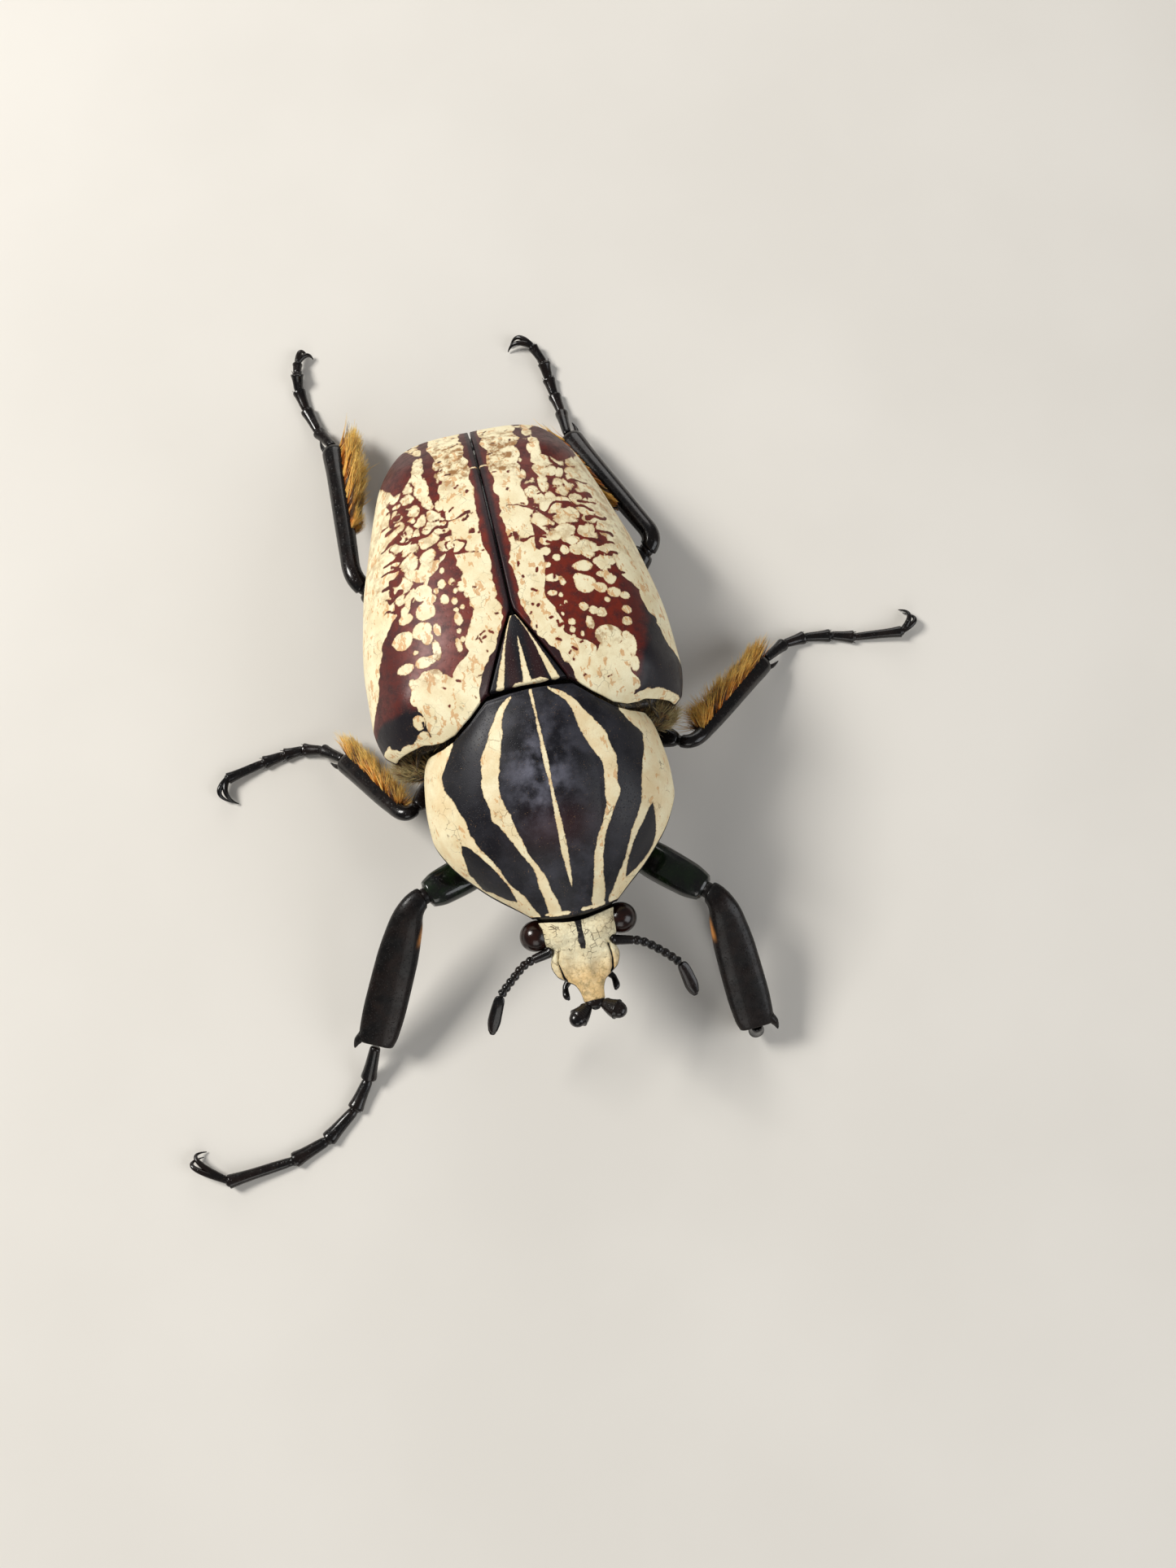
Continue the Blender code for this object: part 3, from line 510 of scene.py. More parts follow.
class Graph:
    """Short calls for building a node tree."""

    def __init__(self, tree: Tree) -> None:
        """Takes the tree to build in."""
        self.tree = tree

    def put(self, socket: Socket, value: Value) -> None:
        """Links or sets one input.

        Args:
            socket: the input.
            value: a number, a colour, or another node's output.
        """
        if isinstance(value, bpy.types.NodeSocket):
            self.tree.links.new(value, socket)
        elif socket.type == "RGBA" and len(value) == 3:
            socket.default_value = (*value, 1.0)
        else:
            socket.default_value = value

    def fill(self, node: Node, inputs: dict[str | int, Value]) -> Node:
        """Links or sets several inputs of a node.

        Args:
            node: the node.
            inputs: values or outputs, by the input's name or number.

        Returns:
            The same node.
        """
        for name, value in inputs.items():
            self.put(node.inputs[name], value)
        return node

    def node(self, kind: str, inputs: dict[str | int, Value] | None = None, **settings: object) -> Node:
        """A new node with its settings and inputs.

        Args:
            kind: type of the node.
            inputs: values or outputs, by the input's name or number.
            settings: the node's own settings.

        Returns:
            The node.
        """
        made = self.tree.nodes.new(kind)
        for name, value in settings.items():
            setattr(made, name, value)
        return self.fill(made, inputs or {})

    def math(self, operation: str, *values: Value, clamp: bool = False) -> Socket:
        """One number worked out from others."""
        made = self.node("ShaderNodeMath", dict(enumerate(values)), operation=operation, use_clamp=clamp)
        return made.outputs[0]

    def plus(self, a: Value, b: Value, clamp: bool = False) -> Socket:
        """The sum of two numbers, kept from 0 to 1 where it is clamped."""
        return self.math("ADD", a, b, clamp=clamp)

    def minus(self, a: Value, b: Value) -> Socket:
        """The first number less the second."""
        return self.math("SUBTRACT", a, b)

    def times(self, a: Value, b: Value, clamp: bool = False) -> Socket:
        """The product of two numbers, kept from 0 to 1 where it is clamped."""
        return self.math("MULTIPLY", a, b, clamp=clamp)

    def vector(self, operation: str, *values: Value) -> Socket:
        """One vector worked out from others."""
        return self.node("ShaderNodeVectorMath", dict(enumerate(values)), operation=operation).outputs[0]

    def scaled(self, vector: Socket, scale: float) -> Socket:
        """A vector times a number."""
        return self.node("ShaderNodeVectorMath", {0: vector, "Scale": scale}, operation="SCALE").outputs[0]

    def ease(self, value: Value, low: float, high: float, start: float = 0.0, end: float = 1.0) -> Socket:
        """An eased step of a value from start to end."""
        inputs = {"Value": value, "From Min": low, "From Max": high, "To Min": start, "To Max": end}
        return self.node("ShaderNodeMapRange", inputs, interpolation_type="SMOOTHSTEP").outputs[0]

    def mix(self, share: Value, a: Value, b: Value) -> Socket:
        """A colour between two others."""
        made = self.node("ShaderNodeMix", data_type="RGBA")
        return self.fill(made, {0: share, 6: a, 7: b}).outputs[2]

    def blend(self, share: Value, a: Value, b: Value) -> Socket:
        """A number between two others."""
        made = self.node("ShaderNodeMix", data_type="FLOAT")
        return self.fill(made, {0: share, 2: a, 3: b}).outputs[0]

    def noise(self, place: Socket, scale: float, detail: float = 2.0, rough: float = 0.5,
              stretch: float = 0.0) -> Socket:
        """Noise from about 0 to 1."""
        inputs = {"Vector": place, "Scale": scale, "Detail": detail, "Roughness": rough,
                  "Distortion": stretch}
        return self.node("ShaderNodeTexNoise", inputs).outputs[0]

    def cells(self, place: Socket, scale: Value, feature: str = "F1", random: float = 1.0) -> Socket:
        """Distances in a cell pattern."""
        inputs = {"Vector": place, "Scale": scale, "Randomness": random}
        return self.node("ShaderNodeTexVoronoi", inputs, feature=feature).outputs["Distance"]

    def value_of(self, name: str) -> Socket:
        """A number stored on the piece."""
        return self.node("ShaderNodeAttribute", attribute_name=name).outputs["Fac"]

    def millimetres(self) -> Socket:
        """Object coordinates in millimetres."""
        place = self.node("ShaderNodeTexCoord").outputs["Object"]
        return self.scaled(place, 1 / MM)

    def bump(self, height: Socket, depth: float, strength: float = 1.0) -> Socket:
        """A normal from a height, where 1 stands for depth in millimetres."""
        inputs = {"Strength": strength, "Distance": depth * MM, "Height": height}
        return self.node("ShaderNodeBump", inputs).outputs[0]


def new_material(name: str) -> tuple[Material, Graph, Node]:
    """An empty material with its graph and its shader.

    Args:
        name: name of the material.

    Returns:
        The material, its graph and its shader.
    """
    made = bpy.data.materials.new(name)
    made.use_nodes = True
    return made, Graph(made.node_tree), made.node_tree.nodes["Principled BSDF"]


def group_tree(name: str, inputs: dict[str, tuple[str, float | tuple[float, ...]]],
               outputs: dict[str, str]) -> tuple[Tree, Graph, Node, Node]:
    """A shader group with named inputs and outputs.

    Args:
        name: name of the group.
        inputs: type and first value of each input, by name.
        outputs: type of each output, by name.

    Returns:
        The group, its graph, and its input and output nodes.
    """
    tree = bpy.data.node_groups.new(name, "ShaderNodeTree")
    for title, (kind, value) in inputs.items():
        socket = tree.interface.new_socket(title, in_out="INPUT", socket_type=kind)
        if kind != "NodeSocketVector":
            socket.default_value = value
    for title, kind in outputs.items():
        tree.interface.new_socket(title, in_out="OUTPUT", socket_type=kind)
    graph = Graph(tree)
    return tree, graph, tree.nodes.new("NodeGroupInput"), tree.nodes.new("NodeGroupOutput")


@dataclass(frozen=True)
class ChalkCrust:
    """The chalky cream layer, with fine cracks, tan flecks and dark specks."""

    cream: Triple = (0.86, 0.79, 0.54)
    shade: Triple = (0.76, 0.65, 0.40)
    tan: Triple = (0.62, 0.34, 0.14)
    crack: Triple = (0.16, 0.10, 0.05)

    def group(self) -> Tree:
        """The shader group, made once.

        Returns:
            The node tree.
        """
        found = bpy.data.node_groups.get("chalk_crust")
        if found:
            return found
        floats = {"Flecks": ("NodeSocketFloat", 0.3), "Cracks": ("NodeSocketFloat", 0.3)}
        tree, g, source, out = group_tree(
            "chalk_crust", {"Place": ("NodeSocketVector", 0.0), **floats},
            {"Color": "NodeSocketColor", "Height": "NodeSocketFloat", "Roughness": "NodeSocketFloat"})
        place = source.outputs["Place"]
        warp = g.node("ShaderNodeTexNoise", {"Vector": place, "Scale": 0.9, "Detail": 2.0}).outputs["Color"]
        bent = g.vector("ADD", place, g.scaled(warp, 0.9))
        mottle = g.noise(place, 0.35, 4.0, 0.6)
        color = g.mix(g.ease(mottle, 0.35, 0.7), self.cream, self.shade)
        grain = g.noise(place, 9.0, 3.0, 0.65)
        color = g.mix(g.ease(grain, 0.45, 0.75, 0.0, 0.22), color, self.tan)
        fleck_noise = g.noise(g.vector("MULTIPLY", bent, (1.0, 0.45, 1.0)), 1.1, 3.0, 0.6)
        edge = g.minus(0.86, g.times(source.outputs["Flecks"], 0.3))
        flecks = g.ease(g.minus(fleck_noise, edge), 0.0, 0.03)
        color = g.mix(g.times(flecks, 0.8), color, self.tan)
        lines = g.cells(bent, 0.75, "DISTANCE_TO_EDGE")
        gate = g.ease(g.noise(place, 0.4, 2.0), 0.5, 0.62)
        crack = g.times(g.ease(lines, 0.035, 0.005), gate)
        crack = g.times(crack, source.outputs["Cracks"], clamp=True)
        color = g.mix(crack, color, self.crack)
        fine = g.cells(bent, 2.3, "DISTANCE_TO_EDGE")
        fine_crack = g.times(g.ease(fine, 0.03, 0.0), g.times(source.outputs["Cracks"], 0.45))
        color = g.mix(fine_crack, color, self.tan)
        height = g.plus(g.times(grain, 0.35), g.times(mottle, 0.8))
        height = g.plus(height, g.times(flecks, 0.25))
        height = g.minus(height, g.plus(crack, fine_crack))
        g.put(out.inputs["Color"], color)
        g.put(out.inputs["Height"], height)
        g.put(out.inputs["Roughness"], g.ease(grain, 0.2, 0.8, 0.42, 0.62))
        return tree


@dataclass(frozen=True)
class Pitting:
    """Fine pits and scratches of a hard cuticle, with a little dust."""

    def group(self) -> Tree:
        """The shader group, made once.

        Returns:
            The node tree.
        """
        found = bpy.data.node_groups.get("pitting")
        if found:
            return found
        inputs = {"Place": ("NodeSocketVector", 0.0), "Pits": ("NodeSocketFloat", 2.2),
                  "Dust": ("NodeSocketFloat", 0.2)}
        outputs = {name: "NodeSocketFloat" for name in ("Height", "Dust", "Wear")}
        tree, g, source, out = group_tree("pitting", inputs, outputs)
        place = source.outputs["Place"]
        hole = g.ease(g.cells(place, source.outputs["Pits"], random=0.9), 0.12, 0.32)
        wear = g.noise(place, 0.8, 5.0, 0.65)
        speck = g.noise(place, 6.0, 3.0, 0.7)
        dust = g.times(g.ease(speck, 0.62, 0.72), g.ease(wear, 0.45, 0.65))
        dust = g.times(dust, source.outputs["Dust"], clamp=True)
        g.put(out.inputs["Height"], g.plus(hole, g.times(wear, 0.5)))
        g.put(out.inputs["Dust"], dust)
        g.put(out.inputs["Wear"], wear)
        return tree


def crust_nodes(g: Graph, place: Socket, flecks: Value, cracks: Value) -> Node:
    """The chalk crust placed in a material."""
    return fill_group(g, ChalkCrust().group(), {"Place": place, "Flecks": flecks, "Cracks": cracks})


def fill_group(g: Graph, tree: Tree, inputs: dict[str, Value]) -> Node:
    """A group node with its inputs set."""
    return g.fill(g.node("ShaderNodeGroup", node_tree=tree), inputs)


def ragged_pale(g: Graph, noise: Socket, play: float) -> Socket:
    """Distance into the pale parts of a pattern, made ragged by noise."""
    return g.plus(g.value_of("pale"), g.times(g.minus(noise, 0.5), play))


@dataclass(frozen=True)
class ShellFinish:
    """Cream cells over maroon and near-black lacquer; along the seam the near-black is partly painted shade.
    """

    name: str = "patterned_shell"
    maroon: Triple = (0.155, 0.016, 0.007)
    wine: Triple = (0.062, 0.008, 0.007)
    night: Triple = (0.007, 0.005, 0.008)
    edge: Triple = (0.50, 0.27, 0.10)
    brown: Triple = (0.30, 0.15, 0.05)

    def material(self) -> Material:
        """The finished material.

        Returns:
            The material.
        """
        made, g, shader = new_material(self.name)
        place = g.millimetres()
        crust = crust_nodes(g, place, 0.95, 0.5)
        pits = fill_group(g, Pitting().group(), {"Place": place, "Pits": 1.8, "Dust": 0.6})
        pale = ragged_pale(g, g.noise(place, 3.2, 3.0, 0.6), 0.34)
        night, stain = g.value_of("night"), g.value_of("stain")
        mask = g.ease(pale, -0.03, 0.05)
        dark = g.mix(g.ease(pits.outputs["Wear"], 0.35, 0.7), self.maroon, self.wine)
        dark = g.mix(night, dark, self.night)
        dark = g.mix(pits.outputs["Dust"], dark, self.edge)
        light = g.mix(g.ease(pale, 0.16, 0.02, 0.0, 0.5), crust.outputs["Color"], self.edge)
        blotch = g.times(stain, g.ease(g.noise(place, 0.7, 4.0, 0.62), 0.45, 0.64, 0.0, 0.85), clamp=True)
        light = g.mix(blotch, light, self.brown)
        rough = g.ease(pits.outputs["Wear"], 0.3, 0.8, 0.42, 0.6)
        height = g.blend(mask, g.times(pits.outputs["Height"], 0.25),
                         g.plus(g.times(crust.outputs["Height"], 0.3), 0.9))
        g.fill(shader, {
            "Base Color": g.mix(mask, dark, light),
            "Roughness": g.blend(mask, rough, crust.outputs["Roughness"]),
            "Normal": g.bump(height, 0.055),
            "Coat Weight": g.blend(mask, 0.10, 0.05),
            "Coat Roughness": 0.25,
            "Specular IOR Level": 0.28})
        return made


@dataclass(frozen=True)
class ShieldFinish:
    """Velvety blue-black with chalk stripes, and a painted highlight where the piece marks one."""

    name: str
    black: Triple = (0.0055, 0.0052, 0.008)
    # pale blue-grey of the painted highlight on the black
    painted_highlight_color: Triple = (0.13, 0.13, 0.165)
    red: Triple = (0.035, 0.006, 0.006)
    warm: float = 0.35
    dust: Triple = (0.40, 0.24, 0.11)
    ochre: Triple = (0.74, 0.50, 0.24)
    border: Triple = (0.42, 0.25, 0.10)

    def material(self) -> Material:
        """The finished material.

        Returns:
            The material.
        """
        made, g, shader = new_material(self.name)
        place = g.millimetres()
        crust = crust_nodes(g, place, 0.8, 0.75)
        pits = fill_group(g, Pitting().group(), {"Place": place, "Pits": 3.4, "Dust": 0.9})
        pale = ragged_pale(g, g.noise(place, 2.4, 4.0, 0.62), 0.42)
        mask = g.ease(pale, -0.03, 0.05)
        glow, warm = g.value_of("glow"), g.value_of("warm")
        cloud = g.noise(place, 0.28, 5.0, 0.6)
        # Painted highlight: in a cloudy patch where the piece marks it, the black is mixed towards pale
        # blue-grey.
        dark = g.mix(g.times(g.ease(cloud, 0.36, 0.72), glow, clamp=True), self.black, self.painted_highlight_color)
        dark = g.mix(warm, dark, self.red)
        dark = g.mix(pits.outputs["Dust"], dark, self.dust)
        warmth = g.times(g.ease(cloud, 0.35, 0.65), self.warm)
        light = g.mix(warmth, crust.outputs["Color"], self.ochre)
        light = g.mix(g.ease(pale, 0.16, 0.02, 0.0, 0.45), light, self.border)
        rough = g.ease(cloud, 0.3, 0.7, 0.38, 0.52)
        height = g.blend(mask, g.times(pits.outputs["Height"], 0.35),
                         g.plus(g.times(crust.outputs["Height"], 0.35), 0.9))
        g.fill(shader, {
            "Base Color": g.mix(mask, dark, light),
            "Specular IOR Level": 0.3,
            "Roughness": g.blend(mask, rough, crust.outputs["Roughness"]),
            "Normal": g.bump(height, 0.05)})
        return made


@dataclass(frozen=True)
class HeadFinish:
    """Cracked chalk over black, cream behind and tan in front; the black low on the sides is partly painted
    shade.
    """

    name: str = "head_chalk"
    tan: Triple = (0.66, 0.43, 0.17)
    black: Triple = (0.010, 0.008, 0.008)
    olive: Triple = (0.30, 0.22, 0.09)
    crack: Triple = (0.10, 0.06, 0.03)

    def material(self) -> Material:
        """The finished material.

        Returns:
            The material.
        """
        made, g, shader = new_material(self.name)
        place = g.millimetres()
        crust = crust_nodes(g, place, 0.45, 0.55)
        pits = fill_group(g, Pitting().group(), {"Place": place, "Pits": 2.6, "Dust": 0.4})
        pale = ragged_pale(g, g.noise(place, 2.6, 4.0, 0.65), 0.5)
        mask = g.ease(pale, -0.03, 0.06)
        cloud = g.noise(place, 0.6, 5.0, 0.65)
        share = g.plus(g.value_of("tan"), g.times(g.minus(cloud, 0.5), 1.1), clamp=True)
        light = g.mix(g.times(share, 0.85), crust.outputs["Color"], self.tan)
        olive = g.times(g.ease(g.noise(place, 0.9, 4.0, 0.7), 0.48, 0.62), 0.75)
        light = g.mix(g.times(olive, share), light, self.olive)
        flakes = g.cells(place, 1.15, "DISTANCE_TO_EDGE")
        crack = g.ease(flakes, 0.05, 0.008)
        crack = g.times(crack, g.ease(g.noise(place, 0.7, 3.0), 0.46, 0.58))
        crack = g.times(crack, g.ease(g.value_of("tan"), 0.1, 0.7, 1.0, 0.12))
        light = g.mix(g.times(crack, 0.8), light, self.crack)
        lift = g.plus(g.times(crust.outputs["Height"], 0.6), g.times(cloud, 1.2))
        lift = g.minus(g.plus(lift, 0.6), g.times(crack, 0.9))
        height = g.blend(mask, g.times(pits.outputs["Height"], 0.3), lift)
        g.fill(shader, {
            "Base Color": g.mix(mask, self.black, light),
            "Roughness": g.blend(mask, 0.28, crust.outputs["Roughness"]),
            "Normal": g.bump(height, 0.14)})
        return made


@dataclass(frozen=True)
class CuticleFinish:
    """Black cuticle, glossy or finely pitted, with a tinge of colour."""

    name: str
    black: Triple = (0.0035, 0.003, 0.003)
    tinge: Triple = (0.009, 0.005, 0.004)
    rough: float = 0.24
    pits: float = 2.4
    depth: float = 0.02
    dust: float = 0.25
    coat: float = 0.35
    amber: Triple = (0.50, 0.20, 0.045)
    dust_color: Triple = (0.30, 0.19, 0.09)

    def material(self) -> Material:
        """The finished material.

        Returns:
            The material.
        """
        made, g, shader = new_material(self.name)
        place = g.millimetres()
        pits = fill_group(g, Pitting().group(), {"Place": place, "Pits": self.pits, "Dust": self.dust})
        color = g.mix(g.ease(g.noise(place, 0.35, 4.0, 0.6), 0.35, 0.7), self.black, self.tinge)
        color = g.mix(g.value_of("tone"), color, self.amber)
        color = g.mix(pits.outputs["Dust"], color, self.dust_color)
        g.fill(shader, {
            "Base Color": color,
            "Roughness": g.ease(pits.outputs["Wear"], 0.3, 0.8, self.rough * 0.8, self.rough * 1.6),
            "Normal": g.bump(pits.outputs["Height"], self.depth),
            "Coat Weight": self.coat,
            "Coat Roughness": 0.08,
            "Specular IOR Level": 0.22})
        return made


@dataclass(frozen=True)
class EyeFinish:
    """Dark red-brown glossy eye with fine facets."""

    name: str = "facet_eye"
    dark: Triple = (0.006, 0.002, 0.0015)
    red: Triple = (0.019, 0.005, 0.003)

    def material(self) -> Material:
        """The finished material.

        Returns:
            The material.
        """
        made, g, shader = new_material(self.name)
        place = g.millimetres()
        facets = g.cells(place, 9.0, "F1", 0.15)
        color = g.mix(g.ease(g.noise(place, 0.8, 3.0), 0.35, 0.7), self.dark, self.red)
        g.fill(shader, {
            "Base Color": color,
            "Roughness": g.ease(facets, 0.1, 0.6, 0.10, 0.2),
            "Normal": g.bump(facets, 0.008),
            "Coat Weight": 0.15,
            "Coat Roughness": 0.06,
            "Specular IOR Level": 0.35})
        return made


@dataclass(frozen=True)
class BristleFinish:
    """Bristles, darker at the root and lighter at the tip."""

    name: str
    root: Triple
    middle: Triple
    tip: Triple
    shadow: Triple = (0.035, 0.012, 0.002)
    streak: Triple = (0.30, 0.075, 0.004)

    def material(self) -> Material:
        """The finished material.

        Returns:
            The material.
        """
        made, g, shader = new_material(self.name)
        along, own = g.value_of("along"), g.value_of("own")
        color = g.mix(g.ease(along, 0.0, 0.45), self.root, self.middle)
        color = g.mix(g.ease(along, 0.45, 1.0), color, self.tip)
        streak = g.noise(g.millimetres(), 1.1, 3.0, 0.6)
        color = g.mix(g.times(g.ease(streak, 0.48, 0.62), 0.55), color, self.streak)
        color = g.mix(g.ease(own, 0.42, 0.14, 0.0, 0.95), color, self.shadow)
        color = g.mix(g.ease(own, 0.6, 0.9, 0.0, 0.7), color, self.tip)
        g.fill(shader, {
            "Base Color": color,
            "Roughness": g.ease(own, 0.0, 1.0, 0.34, 0.52),
            "Normal": g.bump(streak, 0.01),
            "Specular IOR Level": 0.6})
        return made


@dataclass(frozen=True)
class FloorFinish:
    """Plain pale floor."""

    name: str = "pale_floor"
    shade: Triple = (0.66, 0.63, 0.58)
    light: Triple = (0.69, 0.66, 0.61)

    def material(self) -> Material:
        """The finished material.

        Returns:
            The material.
        """
        made, g, shader = new_material(self.name)
        cloud = g.noise(g.millimetres(), 0.02, 4.0, 0.5)
        g.fill(shader, {
            "Base Color": g.mix(g.ease(cloud, 0.3, 0.7), self.shade, self.light),
            "Roughness": 0.8})
        return made


# Hind body

def plate_faces(rows: int, columns: int, stride: int) -> Faces:
    """Faces of a closed plate: a fine upper grid over a lower grid that keeps every stride-th point.

    Args:
        rows: rows of the upper grid.
        columns: columns of the upper grid.
        stride: step from one kept point to the next.

    Returns:
        The faces.
    """
    fine = np.arange(rows * columns).reshape(rows, columns)
    low_rows, low_columns = (rows - 1) // stride + 1, (columns - 1) // stride + 1
    coarse = np.arange(low_rows * low_columns).reshape(low_rows, low_columns) + rows * columns
    upper, lower = border(fine), border(coarse)
    starts = np.arange(len(lower)) * stride
    steps = [upper[(starts + k) % len(upper)] for k in range(stride, -1, -1)]
    side = np.stack(steps + [lower, np.roll(lower, -1)], -1)
    top = grid_faces(rows, columns)
    return [top, grid_faces(low_rows, low_columns, start=rows * columns, flip=True), side]


def clustered(count: int, pull: float) -> Array:
    """Shares from 0 to 1, closer together at both ends."""
    t = np.linspace(0, 1, count)
    return t - pull * np.sin(2 * math.pi * t) / (2 * math.pi)


def grid_normals(points: Array) -> Array:
    """Unit normals of a grid of points, turned upward on the whole.

    Args:
        points: grid of points.

    Returns:
        One normal for each point.
    """
    normal = np.cross(np.gradient(points, axis=0), np.gradient(points, axis=1))
    normal /= np.maximum(np.linalg.norm(normal, axis=-1, keepdims=True), 1e-9)
    return normal if normal[..., 2].mean() > 0 else -normal


def edge_distance(points: Array) -> Array:
    """Distance of each grid point from the nearest border, along its row or column."""
    lengths = [run_length(points, axis) for axis in (0, 1)]
    return np.minimum(*[np.minimum(run, np.take(run, [-1], axis) - run) for axis, run in enumerate(lengths)])


def mark_plate(mesh: bpy.types.Mesh, marks: dict[str, Array], below: dict[str, float]) -> None:
    """Stores the marks of a plate's upper face, with one plain value for its lower face.

    Args:
        mesh: the plate, its upper face first.
        marks: values of the upper face, by name.
        below: value of the lower face, by name.
    """
    for name, value in marks.items():
        lower = np.full(len(mesh.vertices) - value.size, below[name])
        set_values(mesh, **{name: np.concatenate([value.ravel(), lower])})


def rolled_rim(points: Array, radius: float) -> Array:
    """The grid with its rim rolled down in a quarter circle.

    Args:
        points: grid of points.
        radius: radius of the roll.

    Returns:
        The grid, with its rim rolled.
    """
    distance = np.clip(edge_distance(points), 0, radius)
    drop = radius - np.sqrt(radius ** 2 - (radius - distance) ** 2)
    return points - grid_normals(points) * drop[..., None]


def cell_border(x: Array, y: Array, size: float, seed: int, jitter: float = 0.8,
                softness: float = 0.12) -> Array:
    """Distance to the border of irregular cells of about the given size, with rounded corners.

    Args:
        x: places across, in millimetres.
        y: places along the body, in millimetres.
        size: size of a cell.
        seed: number that fixes what is random.
        jitter: how far the cells are from a grid, 0 to 1.
        softness: radius of the corners, in cells.

    Returns:
        Distance into the cell at each place.
    """
    x, y = x / size, y / size
    i, j = np.floor(x), np.floor(y)
    sites = []
    for a in range(-2, 3):
        for b in range(-2, 3):
            sx = i + a + 0.5 + 0.5 * jitter * lattice(i + a, j + b, seed) + 0.25 * ((j + b) % 2)
            sy = j + b + 0.5 + 0.5 * jitter * lattice(i + a, j + b, seed + 7)
            sites.append((sx, sy))
    squares = np.stack([(x - sx) ** 2 + (y - sy) ** 2 for sx, sy in sites])
    nearest = squares.argmin(0)
    all_x, all_y = np.stack([s[0] for s in sites]), np.stack([s[1] for s in sites])
    near_x = np.take_along_axis(all_x, nearest[None], 0)[0]
    near_y = np.take_along_axis(all_y, nearest[None], 0)[0]
    least = np.take_along_axis(squares, nearest[None], 0)[0]
    total = np.zeros_like(x)
    for k in range(len(sites)):
        apart = np.hypot(all_x[k] - near_x, all_y[k] - near_y)
        other = apart > 1e-6
        border = (squares[k] - least) / (2 * np.where(other, apart, 1))
        total += np.where(other, np.exp(-np.clip(border / softness, 0, 60)), 0)
    return -softness * np.log(np.maximum(total, 1e-12)) * size


